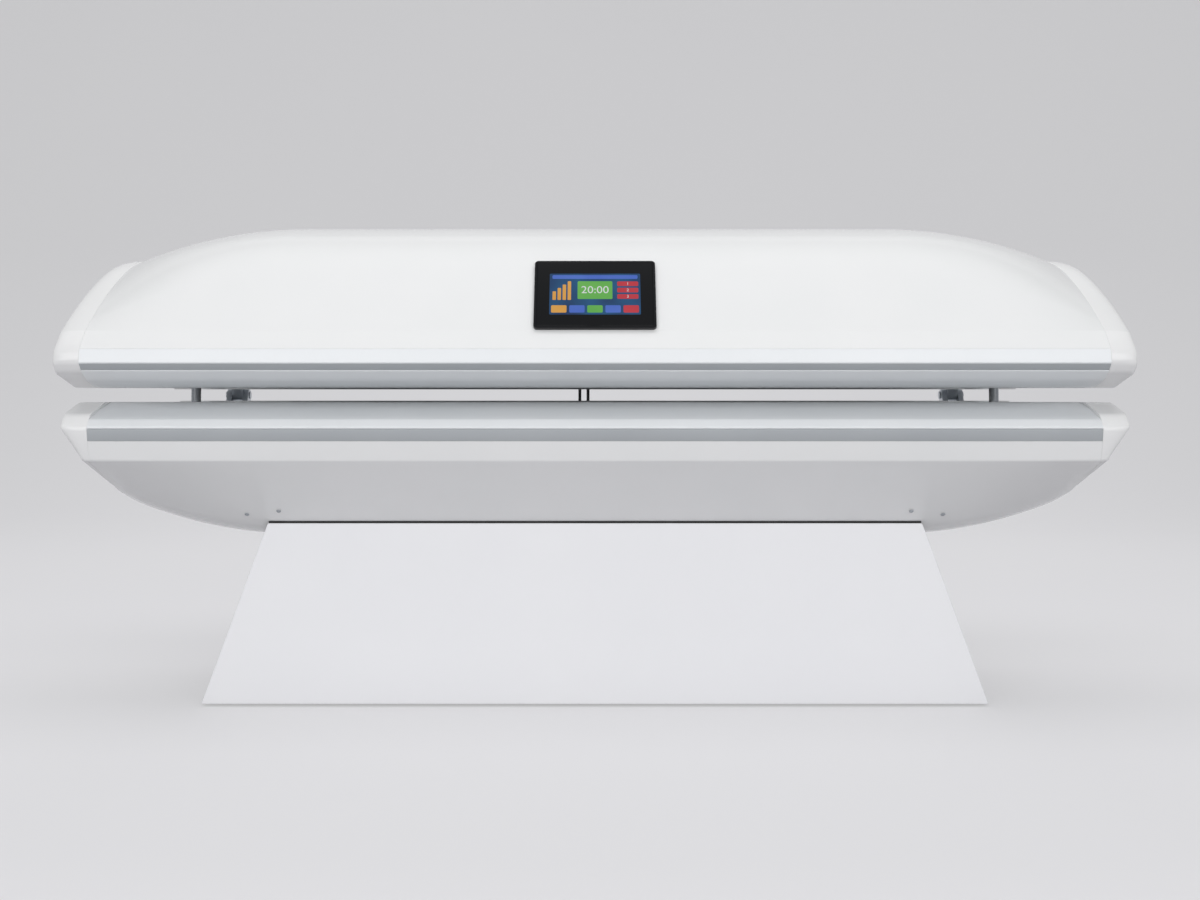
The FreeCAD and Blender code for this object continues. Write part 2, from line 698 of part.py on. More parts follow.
def fan_rotor(label, seat):
    """Hub with seven pitched blades on the motor's stub shaft."""
    body = new_body(label)
    floor = f"-dims.shell_wall - dims.fan_depth - {SEAT} + 5"
    hub = new_sketch(body, "XY_Plane", floor)
    circle(hub, "20")
    hub_pad = pad(body, hub, "dims.fan_depth - 8")
    blades = []
    roots = []
    for reach, half, pitch in (("18", "10", "6.5"), ("dims.fan_bore / 2 - 5", "19", "5")):
        blade = new_sketch(body, "YZ_Plane", reach)
        low = f"{floor} + 8.5 - {pitch}"
        high = f"{floor} + 8.5 + {pitch}"
        corners = [(f"-{half}", low), (f"-{half} + 3", low), (half, high), (f"{half} - 3", high)]
        polygon(blade, corners)
        roots.append(blade)
    loft = body.newObject("PartDesign::AdditiveLoft", label + "_blade")
    loft.Profile = roots[0]
    loft.Sections = [(roots[1], [""])]
    loft.Ruled = True
    doc.recompute()
    blades.append(loft)
    polar(body, blades, hub, 7)
    bore = new_sketch(body, "XY_Plane", floor)
    circle(bore, "3 + dims.running_fit")
    pocket(body, bore, "10", back=True)
    body.Placement = seat
    return keep(body, label)


GRILLE_RIM = 10


def fan_grille(name, seat):
    """Finger guard with parallel slots, outside the shell."""
    body = new_body(name)
    plate = new_sketch(body, "XY_Plane")
    rectangle(plate, f"dims.fan_size + {GRILLE_RIM}", f"dims.fan_size + {GRILLE_RIM}")
    pad(body, plate, "3")
    slot = new_sketch(body, "XY_Plane")
    rectangle(slot, "dims.fan_size - 20", "6", "0", "-0.42 * dims.fan_size")
    slot_cut = pocket(body, slot, "3", back=True)
    linear(body, [slot_cut], slot, "V_Axis", "0.84 * dims.fan_size", 9)
    body.Placement = seat
    return body


# Hinges

LEAF_GAP = 0.5


def bevel():
    """Tilt of the bevel and its distance from the hinge axis."""
    run = dim("lip_inset") - dim("bevel_u")
    rise = dim("bevel_w") - LIP_W
    length = math.hypot(run, rise)
    back = dim("lip_inset") - dim("hinge_inset")
    distance = (rise * back + run * LIP_W) / length
    return math.degrees(math.atan2(rise, run)), distance


def hinge_lug(body, x_from, width, drop):
    """One hinge lug: knuckle, web and bore, with the pin's axis as the local X axis."""
    web = new_sketch(body, "YZ_Plane", x_from)
    knuckle = "dims.knuckle_radius"
    corners = [
        (f"-{knuckle}", "0"),
        ("-dims.leaf_width / 2", f"-{drop}"),
        ("dims.leaf_width / 2", f"-{drop}"),
        (knuckle, "0"),
    ]
    polygon(web, corners)
    pad(body, web, width)
    eye = new_sketch(body, "YZ_Plane", x_from)
    circle(eye, knuckle)
    pad(body, eye, width)


def hinge_leaf(name, end, up):
    """Fixed leaves have two lugs, moving leaves one lug between them; both sit on the rail's bevel."""
    tilt, distance = bevel()
    body = new_body(name)
    if up == DOWN:
        hinge_lug(body, "-26", "13", str(distance))
        hinge_lug(body, "13", "13", str(distance))
    else:
        hinge_lug(body, f"-(13 - {LEAF_GAP})", f"2 * (13 - {LEAF_GAP})", str(distance))
    plate = new_sketch(body, "XY_Plane", f"-{distance}")
    rectangle(plate, "52" if up == DOWN else "25", "dims.leaf_width")
    pad(body, plate, "4")
    bore = new_sketch(body, "YZ_Plane")
    circle(bore, "dims.pin_radius + dims.running_fit")
    pocket(body, bore, "60", both=True)
    roll = tilt if up == UP else -tilt
    flip = Rotation(X_AXIS, 180) if up == UP else Rotation()
    turned = Rotation(X_AXIS, roll).multiply(flip)
    body.Placement = Placement(Vector(end * dim("hinge_x"), HINGE_Y, GAP_Z), turned)
    return body


def hinge_pin(name, end):
    """Headed pin."""
    body = new_body(name)
    sketch = new_sketch(body, "XZ_Plane")
    r = "dims.pin_radius"
    head = f"{r} + 3"
    corners = [
        ("-30", "0"), ("-30", head), ("-26.2", head), ("-26.2", r),
        ("26.2", r), ("26.2", head), ("29", head), ("29", "0"),
    ]
    polygon(sketch, corners)
    turn(body, sketch)
    body.Placement = Placement(Vector(end * dim("hinge_x"), HINGE_Y, GAP_Z), Rotation())
    return body


# Gas springs: both pivots are equally far from the hinge axis, so cylinder and rod stay in line

def spring_angle(up):
    """Angle at the hinge axis that puts a pivot its clearance outside the lit surface."""
    radius, centre = arc_radius(up)
    reach = radius + dim("upper_clearance" if up == UP else "lower_clearance")
    arm = dim("spring_arm")
    drop = up * (GAP_Z - centre)
    far = math.hypot(HINGE_Y, drop)
    share = (far ** 2 + arm ** 2 - reach ** 2) / (2 * arm * far)
    return math.acos(share) - math.atan2(drop, HINGE_Y)


def spring_pivot(up):
    """Pivot of a gas spring in the plane of the spring."""
    angle = spring_angle(up)
    arm = dim("spring_arm")
    return Vector(0, HINGE_Y - arm * math.cos(angle), GAP_Z + up * arm * math.sin(angle))


def spring_seat(end):
    """Placement whose origin is the lower pivot and whose X axis points to the upper pivot."""
    low = spring_pivot(DOWN)
    line = spring_pivot(UP).sub(low)
    lean = math.degrees(math.atan2(line.y, line.z))
    aim = Rotation(X_AXIS, -lean).multiply(Rotation(Vector(0, 1, 0), -90))
    return Placement(Vector(end * dim("spring_x"), low.y, low.z), aim)


SPRING_LENGTH = spring_pivot(UP).sub(spring_pivot(DOWN)).Length


def spring_eye(body, x_text):
    """Flat eye of a gas spring."""
    eye = new_sketch(body, "XY_Plane")
    circle(eye, "dims.pivot_radius + 5", x_text)
    pad(body, eye, "10", both=True)


def spring_bore(body, x_text):
    """Bore of an eye."""
    bore = new_sketch(body, "XY_Plane")
    circle(bore, "dims.pivot_radius + dims.running_fit", x_text)
    pocket(body, bore, "40", both=True)


def spring_cylinder(label, end):
    """Tube with a closed foot and an eye."""
    body = new_body(label)
    tube = new_sketch(body, "XZ_Plane")
    top = str(SPRING_LENGTH - 32)
    r = "dims.cylinder_radius"
    bore = "dims.rod_radius + 0.5"
    corners = [
        ("14", "0"), ("14", r), (top, r), (top, bore), ("40", bore), ("40", "0"),
    ]
    polygon(tube, corners)
    turn(body, tube)
    neck = new_sketch(body, "XZ_Plane")
    polygon(neck, [("0", "0"), ("0", "4"), ("16", "4"), ("16", "0")])
    turn(body, neck)
    spring_eye(body, "0")
    spring_bore(body, "0")
    body.Placement = spring_seat(end)
    return keep(body, label)


def spring_rod(label, end):
    """Rod with an eye at its upper end."""
    body = new_body(label)
    rod = new_sketch(body, "XZ_Plane")
    far = str(SPRING_LENGTH)
    shoulder = str(SPRING_LENGTH - 14)
    r = "dims.rod_radius"
    polygon(rod, [("48", "0"), ("48", r), (shoulder, r), (shoulder, "3.5"), (far, "3.5"), (far, "0")])
    turn(body, rod)
    spring_eye(body, far)
    spring_bore(body, far)
    body.Placement = spring_seat(end)
    return keep(body, label)


def spring_stud(name, end, up):
    """Pivot stud on the outer face of an end rib."""
    body = new_body(name)
    sketch = new_sketch(body, "XZ_Plane")
    face = "dims.acrylic_x + dims.rib_wall + 1"
    inner = "dims.spring_x - 5.5"
    outer = "dims.spring_x + 5.5"
    r = "dims.pivot_radius"
    corners = [
        (face, "0"), (face, "9"), (f"{face} + 4", "9"), (f"{face} + 4", f"{r} + 2"), (inner, f"{r} + 2"),
        (inner, r), (outer, r), (outer, f"{r} + 3"), (f"{outer} + 2", f"{r} + 3"), (f"{outer} + 2", "0"),
    ]
    polygon(sketch, corners)
    turn(body, sketch)
    spin = Rotation() if end == RIGHT else Rotation(Vector(0, 0, 1), 180)
    body.Placement = Placement(spring_pivot(up), spin)
    return body


# Screen

def screen():
    """Bezel, glass and the controller housing behind the canopy's front."""
    seat = screen_seat()
    bezel = new_body("screen_bezel")
    outline = new_sketch(bezel, "XY_Plane")
    rectangle(outline, "dims.screen_width", "dims.screen_height")
    block = pad(bezel, outline, "dims.screen_depth")
    rounding = bezel.newObject("PartDesign::Fillet", "bezel_round")
    corners = [f"Edge{i}" for i, e in enumerate(block.Shape.Edges, 1) if abs(e.tangentAt(0).z) > 0.99]
    rounding.Base = (block, corners)
    rounding.Radius = 7
    doc.recompute()
    recess = new_sketch(bezel, "XY_Plane", "dims.screen_depth - 3")
    rectangle(recess, "dims.screen_width - 10", "dims.screen_height - 10")
    pocket(bezel, recess, "3", back=True)
    bezel.Placement = seat
    keep(bezel, "screen_bezel")
    glass = new_body("screen_glass")
    sheet_outline = new_sketch(glass, "XY_Plane", "dims.screen_depth - 3")
    rectangle(sheet_outline, "dims.screen_width - 10.6", "dims.screen_height - 10.6")
    pad(glass, sheet_outline, "2.8")
    glass.Placement = seat
    keep(glass, "screen_glass")
    housing = new_body("screen_controller")
    block = new_sketch(housing, "XY_Plane", "-40")
    rectangle(block, "dims.screen_width - 34", "dims.screen_height - 30")
    pad(housing, block, "40")
    hollow = new_sketch(housing, "XY_Plane", "-38")
    rectangle(hollow, "dims.screen_width - 38", "dims.screen_height - 34")
    pocket(housing, hollow, "38", back=True)
    housing.Placement = seat
    keep(housing, "screen_controller")


def screen_hole():
    """Tool for the canopy's cut-out behind the screen."""
    width = dim("screen_width") - 32
    height = dim("screen_height") - 28
    tool = Part.makeBox(width, height, 60, Vector(-width / 2, -height / 2, -30))
    tool.Placement = screen_seat()
    return tool


def fan_hole(seat):
    """Tool for the round hole behind a grille."""
    tool = Part.makeCylinder(dim("fan_bore") / 2 - 1, 60, Vector(0, 0, -30))
    tool.Placement = seat
    return tool


# Pedestal

def foot(z):
    """Half length and half depth of the pedestal's outside at a height."""
    share = z / dim("pedestal_top_z")
    x = dim("pedestal_foot_x") + (dim("pedestal_top_x") - dim("pedestal_foot_x")) * share
    y = dim("pedestal_foot_y") + (dim("pedestal_top_y") - dim("pedestal_foot_y")) * share
    return x, y


def frustum(inset, low, high):
    """Solid pedestal, inset inwards."""
    wires = []
    for z in (low, high):
        x, y = foot(z)
        x -= inset
        y -= inset
        points = [Vector(px, py, z) for px, py in ((-x, -y), (x, -y), (x, y), (-x, y))]
        wires.append(Part.makePolygon(points + points[:1]))
    return Part.makeLoft(wires, True, True)


def pedestal_panel(label, side, along_x, tools):
    """One mitred wall of the pedestal between its outer and inner outline."""
    body = new_body(label + "_wall")
    loops = []
    sides = (("foot", "dims.panel_lift"), ("top", "dims.pedestal_top_z"))
    share = "dims.panel_lift / dims.pedestal_top_z"
    for name, height in sides:
        sketch = new_sketch(body, "XY_Plane", height)
        x_text = "dims.pedestal_top_x"
        y_text = "dims.pedestal_top_y"
        if name == "foot":
            x_text = f"(dims.pedestal_foot_x + (dims.pedestal_top_x - dims.pedestal_foot_x) * {share})"
            y_text = f"(dims.pedestal_foot_y + (dims.pedestal_top_y - dims.pedestal_foot_y) * {share})"
        x_in = f"({x_text} - dims.panel_wall)"
        y_in = f"({y_text} - dims.panel_wall)"
        if along_x:
            corners = [
                (f"-{x_text}", f"{side} * {y_text}"), (x_text, f"{side} * {y_text}"),
                (x_in, f"{side} * {y_in}"), (f"-{x_in}", f"{side} * {y_in}"),
            ]
        else:
            corners = [
                (f"{side} * {x_text}", f"-{y_text}"), (f"{side} * {x_text}", y_text),
                (f"{side} * {x_in}", y_in), (f"{side} * {x_in}", f"-{y_in}"),
            ]
        polygon(sketch, corners)
        loops.append(sketch)
    loft = body.newObject("PartDesign::AdditiveLoft", label + "_loft")
    loft.Profile = loops[0]
    loft.Sections = [(loops[1], [""])]
    loft.Ruled = True
    doc.recompute()
    result = body
    for i, tool in enumerate(tools):
        result = cut(f"{label}_cut{i}", result, tool)
    return keep(result, label)


def tube_x(name, x_from, length, y, z):
    """Square tube along X; y and z are centre lines."""
    corner = (x_from, f"{y} - dims.tube / 2", f"{z} - dims.tube / 2")
    outer = box(name, (length, "dims.tube", "dims.tube"), corner)
    thin = "dims.tube - 2 * dims.tube_wall"
    corner = (x_from, f"{y} - ({thin}) / 2", f"{z} - ({thin}) / 2")
    return cut(name + "_tube", outer, box(name + "_bore", (length, thin, thin), corner))


def tube_y(name, y_from, length, x, z):
    """Square tube along Y; x and z are centre lines."""
    corner = (f"{x} - dims.tube / 2", y_from, f"{z} - dims.tube / 2")
    outer = box(name, ("dims.tube", length, "dims.tube"), corner)
    thin = "dims.tube - 2 * dims.tube_wall"
    corner = (f"{x} - ({thin}) / 2", y_from, f"{z} - ({thin}) / 2")
    return cut(name + "_tube", outer, box(name + "_bore", (thin, length, thin), corner))


def tube_z(name, z_from, length, x, y):
    """Square tube along Z; x and y are centre lines."""
    corner = (f"{x} - dims.tube / 2", f"{y} - dims.tube / 2", z_from)
    outer = box(name, ("dims.tube", "dims.tube", length), corner)
    thin = "dims.tube - 2 * dims.tube_wall"
    corner = (f"{x} - ({thin}) / 2", f"{y} - ({thin}) / 2", z_from)
    return cut(name + "_bore", outer, box(name + "_hole", (thin, thin, length), corner))


FLOOR_Z = "(dims.glide + dims.tube / 2)"
FLOOR_TOP = "(dims.glide + dims.tube)"
CRADLE_TOP = "(dims.gap_height - dims.tray_drop)"
CORNERS = [(x, y) for x in (LEFT, RIGHT) for y in (FRONT, REAR)]


def pedestal_frame():
    """Welded tube frame that stands on glides and carries the tray."""
    rim = "(dims.frame_y - dims.tube / 2)"
    tubes = []
    for side in (FRONT, REAR):
        name = f"floor_long_{side + 1}"
        tubes.append(tube_x(name, "-dims.frame_x", "2 * dims.frame_x", f"{side} * {rim}", FLOOR_Z))
    clear = "2 * (dims.frame_y - dims.tube)"
    for end in (LEFT, RIGHT):
        start = "-(dims.frame_y - dims.tube)"
        tubes.append(tube_y(f"floor_cross_{end + 1}", start, clear, f"{end} * dims.upright_x", FLOOR_Z))
    group("floor_frame", tubes)
    posts = []
    for x_sign, y_sign in CORNERS:
        name = f"post_{x_sign + 1}{y_sign + 1}"
        height = f"{CRADLE_TOP} - dims.tube - {FLOOR_TOP}"
        middle = (f"{x_sign} * dims.upright_x", f"{y_sign} * dims.upright_y")
        posts.append(tube_z(name, FLOOR_TOP, height, *middle))
    group("uprights", posts)
    beams = []
    for side in (FRONT, REAR):
        reach = "(dims.upright_x + dims.tube)"
        beam_z = f"({CRADLE_TOP} - dims.tube / 2)"
        beam_y = f"{side} * dims.upright_y"
        beams.append(tube_x(f"beam_{side + 1}", f"-{reach}", f"2 * {reach}", beam_y, beam_z))
    group("cradle_beams", beams)
    glides = []
    for x_sign, y_sign in CORNERS:
        foot_at = (f"{x_sign} * (dims.frame_x - 40)", f"{y_sign} * {rim}", "0")
        glides.append(cylinder(f"glide_{x_sign + 1}{y_sign + 1}", "19", "dims.glide", foot_at))
    group("floor_glides", glides)


BRACKET_WIDTH = 36
BRACKET_REACH = 100
BRACKET_HEIGHT = 28


def panel_brackets():
    """Blocks between the floor frame and the panels."""
    inside = frustum(dim("panel_wall"), dim("panel_lift"), dim("pedestal_top_z"))
    low = dim("glide") + (dim("tube") - BRACKET_HEIGHT) / 2
    blocks = []
    for x in (-dim("upright_x"), 0, dim("upright_x")):
        for side in (FRONT, REAR):
            near = dim("frame_y") if side == REAR else -dim("frame_y") - BRACKET_REACH
            corner = Vector(x - BRACKET_WIDTH / 2, near, low)
            block = Part.makeBox(BRACKET_WIDTH, BRACKET_REACH, BRACKET_HEIGHT, corner)
            blocks.append(block.common(inside))
    for end in (LEFT, RIGHT):
        for side in (FRONT, REAR):
            near = dim("frame_x") if end == RIGHT else -dim("frame_x") - BRACKET_REACH
            y = side * (dim("frame_y") - dim("tube") / 2) - BRACKET_WIDTH / 2
            block = Part.makeBox(BRACKET_REACH, BRACKET_WIDTH, BRACKET_HEIGHT, Vector(near, y, low))
            blocks.append(block.common(inside))
    return keep(solid("panel_brackets", Part.makeCompound(blocks)), "panel_brackets")


def rear_seat(x, z):
    """Placement on the rear panel: Z outwards, Y up the panel."""
    lean = math.degrees(math.atan2(dim("pedestal_foot_y") - dim("pedestal_top_y"), dim("pedestal_top_z")))
    return Placement(Vector(x, foot(z)[1], z), Rotation(X_AXIS, -(90 - lean)))


INLET_X = -400
SWITCH_X = -330
POWER_Z = 110
ROCKER_PIN = "1.2"
ROCKER_AXIS = "-5"


def sunk_box(width, height, depth, seat, rise=0.0):
    """Block behind a seat plane, used as a tool or a plain piece."""
    shape = Part.makeBox(width, height, depth + rise, Vector(-width / 2, -height / 2, -depth))
    shape.Placement = seat
    return shape


def power_entry():
    """Mains inlet with three blades, switch housing and rocker."""
    seat = rear_seat(INLET_X, POWER_Z)
    inlet = new_body("mains_inlet")
    flange = new_sketch(inlet, "XY_Plane")
    rectangle(flange, "58", "40")
    pad(inlet, flange, "3")
    rear = new_sketch(inlet, "XY_Plane", "-30")
    rectangle(rear, "36", "28")
    pad(inlet, rear, "30")
    well = new_sketch(inlet, "XY_Plane", "-18")
    rectangle(well, "30", "21")
    pocket(inlet, well, "21", back=True)
    inlet.Placement = seat
    keep(inlet, "mains_inlet")
    blades = []
    for i, (x, y) in enumerate(((-8, -3), (8, -3), (0, 4))):
        blade = doc.addObject("Part::Box", f"inlet_blade_{i}")
        blade.Length = 2
        blade.Width = 7
        blade.Height = 15
        blade.Placement = seat.multiply(Placement(Vector(x - 1, y - 3.5, -18), Rotation()))
        blades.append(blade)
    group("inlet_blades", blades)
    seat = rear_seat(SWITCH_X, POWER_Z)
    housing = new_body("switch_housing")
    rim = new_sketch(housing, "XY_Plane")
    rectangle(rim, "26", "34")
    pad(housing, rim, "2")
    case = new_sketch(housing, "XY_Plane", "-24")
    rectangle(case, "21", "28")
    pad(housing, case, "24")
    window = new_sketch(housing, "XY_Plane", "-14")
    rectangle(window, "17", "25")
    pocket(housing, window, "16", back=True)
    housing.Placement = seat
    keep(housing, "switch_housing")
    rocker = new_body("power_rocker")
    face = new_sketch(rocker, "YZ_Plane", "-8")
    corners = [
        ("-10.5", "-1"), ("-10.5", "1.2"), ("0", "-0.4"), ("10.5", "3.6"), ("10.5", "1"),
        ("3", "-8"), ("-3", "-8"),
    ]
    polygon(face, corners)
    pad(rocker, face, "16")
    bore = new_sketch(rocker, "YZ_Plane")
    circle(bore, f"{ROCKER_PIN} + dims.running_fit", "0", ROCKER_AXIS)
    pocket(rocker, bore, "20", both=True)
    rocker.Placement = seat
    keep(rocker, "power_rocker")
    pin = new_body("rocker_pin")
    rod = new_sketch(pin, "YZ_Plane", "-8.45")
    circle(rod, ROCKER_PIN, "0", ROCKER_AXIS)
    pad(pin, rod, "16.9")
    pin.Placement = seat
    keep(pin, "rocker_pin")


PANEL_CLEARANCE = 7
VENTS = 9
VENT_X = 180
VENT_Z = 170
VENT_PITCH = 28
VENT_WIDTH = 10
VENT_HEIGHT = 90
DRIVERS = 4
DRIVER_LENGTH = "(dims.upright_x / 2 - 40)"


def pedestal():
    """Frame, panels and what stands inside."""
    pedestal_frame()
    panel_brackets()
    wires = [section_wire(DOWN, 0, 0), section_wire(DOWN, 0, 0)]
    for wire, x in zip(wires, (-dim("pedestal_foot_x"), dim("pedestal_foot_x"))):
        wire.translate(Vector(x, 0, -PANEL_CLEARANCE))
    low_tray = Part.makeLoft(wires, True, True)
    tray_tool = solid("tray_clearance", low_tray)
    holes = [
        solid("inlet_hole", sunk_box(37, 29, 40, rear_seat(INLET_X, POWER_Z), 20)),
        solid("switch_hole", sunk_box(22, 29, 40, rear_seat(SWITCH_X, POWER_Z), 20)),
    ]
    vents = []
    for i in range(VENTS):
        seat = rear_seat(VENT_X + VENT_PITCH * i, VENT_Z)
        vents.append(sunk_box(VENT_WIDTH, VENT_HEIGHT, 40, seat, 20))
    holes.append(solid("vent_slots", Part.makeCompound(vents)))
    pedestal_panel("pedestal_front_panel", FRONT, True, [])
    pedestal_panel("pedestal_rear_panel", REAR, True, holes)
    pedestal_panel("pedestal_left_panel", LEFT, False, [tray_tool])
    pedestal_panel("pedestal_right_panel", RIGHT, False, [tray_tool])
    plate_size = ("2 * dims.upright_x + dims.tube", "220", "2")
    plate = box("plate", plate_size, ("-dims.upright_x - dims.tube / 2", "-110", FLOOR_TOP))
    keep(plate, "equipment_tray")
    drivers = []
    for i in range(DRIVERS):
        x = f"({2 * i + 1 - DRIVERS}) / {DRIVERS} * dims.upright_x - {DRIVER_LENGTH} / 2"
        case = box(f"driver_{i}", (DRIVER_LENGTH, "110", "52"), (x, "-55", f"{FLOOR_TOP} + 2"))
        hollow_at = (f"{x} + 2", "-53", f"{FLOOR_TOP} + 4")
        hollow = box(f"driver_hollow_{i}", (f"{DRIVER_LENGTH} - 4", "106", "48"), hollow_at)
        drivers.append(cut(f"driver_case_{i}", case, hollow))
    group("led_drivers", drivers)
    power_entry()


def side_name(end):
    """Name of an end of the bed."""
    return "left" if end == LEFT else "right"


def tunnel_half(name, up, fan_seats, tools, boards):
    """One half of the clamshell with everything fixed to it."""
    shape = shell_shape(up)
    for tool in tools:
        shape = shape.cut(tool)
    keep(solid(f"{name}_shell", shape), f"{name}_shell")
    rail(f"{name}_front_rail", FRONT, up)
    rail(f"{name}_rear_rail", REAR, up)
    for end in (LEFT, RIGHT):
        cap(f"{name}_{side_name(end)}_cap", end, up)
    ribs(f"{name}_ribs", up)
    led_boards(f"{name}_led_boards", up, boards)
    acrylic(f"{name}_acrylic", up)
    end_trims(f"{name}_end_trims", up)
    frames = [fan_frame(f"{name}_frame_{i}", seat) for i, seat in enumerate(fan_seats)]
    grilles = [fan_grille(f"{name}_grille_{i}", seat) for i, seat in enumerate(fan_seats)]
    group(f"{name}_fan_frames", frames)
    group(f"{name}_fan_grilles", grilles)
    for end, seat in zip((LEFT, RIGHT), fan_seats):
        fan_rotor(f"{name}_{side_name(end)}_rotor", seat)
    leaf_name = "hinge_moving_leaves" if up == UP else "hinge_fixed_leaves"
    group(leaf_name, [hinge_leaf(f"{name}_leaf_{end + 1}", end, up) for end in (LEFT, RIGHT)])
    group(f"{name}_spring_studs", [spring_stud(f"{name}_stud_{end + 1}", end, up) for end in (LEFT, RIGHT)])


LEAD_X = (-37, -17)


def leads():
    """Two leads that cross the gap on the hinge axis between the bevels of the rear rails."""
    tilt, distance = bevel()
    reach = distance / math.cos(math.radians(tilt)) - 1.5
    rods = []
    for i, x in enumerate(LEAD_X):
        foot_at = (str(x), str(HINGE_Y), f"dims.gap_height - {reach}")
        rods.append(cylinder(f"lead_{i}", "4", str(2 * reach), foot_at))
    group("canopy_leads", rods)


fan_ends = (-dim("fan_x"), dim("fan_x"))
canopy_fans = [panel_seat(REAR, x, dim("fan_size") + GRILLE_RIM) for x in fan_ends]
tray_fans = [floor_seat(x) for x in fan_ends]
pedestal()
tunnel_half("tray", DOWN, tray_fans, [fan_hole(seat) for seat in tray_fans], 9)
tunnel_half("canopy", UP, canopy_fans, [screen_hole()] + [fan_hole(seat) for seat in canopy_fans], 11)
screen()
group("hinge_pins", [hinge_pin(f"pin_{end + 1}", end) for end in (LEFT, RIGHT)])
for end in (LEFT, RIGHT):
    spring_cylinder(f"{side_name(end)}_spring_cylinder", end)
    spring_rod(f"{side_name(end)}_spring_rod", end)
leads()
doc.recompute()

os.makedirs("parts", exist_ok=True)
for obj in doc.Objects:
    if "Invalid" in obj.State or "Error" in obj.State:
        raise RuntimeError(f"{obj.Label} did not build: {obj.State}")
for obj in nodes:
    if obj.Shape.isNull() or not obj.Shape.isValid() or not obj.Shape.Solids:
        raise RuntimeError(f"{obj.Label} has no valid solid")
    obj.Shape.exportStep(f"parts/{obj.Label}.step")
    box_now = obj.Shape.BoundBox
    print(f"{obj.Label}: {len(obj.Shape.Solids)} solid(s), {obj.Shape.Volume / 1000:.0f} cm3, "
          f"{box_now.XLength:.0f} x {box_now.YLength:.0f} x {box_now.ZLength:.0f} mm")
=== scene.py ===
import json
import logging
import math
from dataclasses import dataclass
from enum import Enum
from typing import Iterable, Sequence

import bpy
from bpy.types import Material, Node, NodeSocket, NodeTree, Object
from mathutils import Matrix, Vector

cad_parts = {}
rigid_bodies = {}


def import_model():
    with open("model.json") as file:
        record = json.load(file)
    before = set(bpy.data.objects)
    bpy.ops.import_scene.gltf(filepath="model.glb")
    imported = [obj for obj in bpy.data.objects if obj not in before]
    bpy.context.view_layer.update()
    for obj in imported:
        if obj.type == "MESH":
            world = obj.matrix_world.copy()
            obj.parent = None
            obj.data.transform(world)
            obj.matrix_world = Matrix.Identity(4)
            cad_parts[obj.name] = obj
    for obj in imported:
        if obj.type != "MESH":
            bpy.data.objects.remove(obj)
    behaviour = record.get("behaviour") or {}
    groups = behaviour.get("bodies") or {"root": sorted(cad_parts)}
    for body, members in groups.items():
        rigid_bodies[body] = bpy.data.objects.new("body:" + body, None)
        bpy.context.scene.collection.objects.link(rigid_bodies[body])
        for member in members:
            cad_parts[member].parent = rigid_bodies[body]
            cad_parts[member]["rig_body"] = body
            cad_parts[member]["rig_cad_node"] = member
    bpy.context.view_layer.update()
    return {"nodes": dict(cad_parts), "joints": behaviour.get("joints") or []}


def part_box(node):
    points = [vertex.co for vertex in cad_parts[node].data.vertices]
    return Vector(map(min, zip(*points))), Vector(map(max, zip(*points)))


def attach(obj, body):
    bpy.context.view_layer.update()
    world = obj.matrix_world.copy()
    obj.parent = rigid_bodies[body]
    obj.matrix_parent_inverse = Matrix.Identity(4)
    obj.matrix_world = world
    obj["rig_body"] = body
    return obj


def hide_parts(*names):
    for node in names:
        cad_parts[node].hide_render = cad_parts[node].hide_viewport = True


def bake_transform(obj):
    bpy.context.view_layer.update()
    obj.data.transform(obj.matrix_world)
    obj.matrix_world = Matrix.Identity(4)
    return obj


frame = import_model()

logging.basicConfig(level=logging.INFO, format="%(message)s")
log = logging.getLogger("light_bed")

MM = 0.001
Point = tuple[float, float]
Corner = tuple[Point, float]
Place = tuple[float, float, float]


class Named(Enum):
    """An option whose name the CAD nodes write in lower case."""

    @property
    def word(self) -> str:
        """Name of the option as the CAD nodes write it."""
        return self.name.lower()


class Half(Named):
    """The two halves of the clamshell; the value is the way that the half grows from the gap."""

    CANOPY = 1
    TRAY = -1

    @property
    def body(self) -> str:
        """CAD body that the half's pieces ride on."""
        return "canopy" if self is Half.CANOPY else "base"


class Side(Named):
    """Front or rear of the bed, as a sign of Y."""

    FRONT = -1
    REAR = 1


class End(Named):
    """Left or right end of the bed, as a sign of X."""

    LEFT = -1
    RIGHT = 1


# Finishes

# Surfaces at or over this share of metal keep the default index of refraction
METAL_FROM = 0.5
# Ground colour of the display where it gives no light, in linear light
UNLIT = (0.01, 0.01, 0.012, 1)


def linear(code: str) -> tuple[float, float, float, float]:
    """Turn an sRGB colour, written #RRGGBB, into linear light."""
    parts = [int(code[i:i + 2], 16) / 255 for i in (1, 3, 5)]
    lin = [((c + 0.055) / 1.055) ** 2.4 if c > 0.04045 else c / 12.92 for c in parts]
    return (lin[0], lin[1], lin[2], 1.0)


def add(tree: NodeTree, kind: str, settings: dict | None = None, **links: object) -> Node:
    """Add a node with its settings and links.

    Args:
        tree: node tree that gets the node.
        kind: node type without its ShaderNode prefix.
        settings: properties of the node.
        links: input name, with _ for a blank, or i and a number, to an output socket or a value.
    Returns:
        The new node.
    """
    node = tree.nodes.new("ShaderNode" + kind)
    for key, value in (settings or {}).items():
        setattr(node, key, value)
    for key, value in links.items():
        name = key.replace("_", " ")
        numbered = name[0] == "i" and name[1:].isdigit()
        socket = node.inputs[int(name[1:]) if numbered else name]
        if isinstance(value, NodeSocket):
            tree.links.new(value, socket)
        else:
            socket.default_value = value
    return node


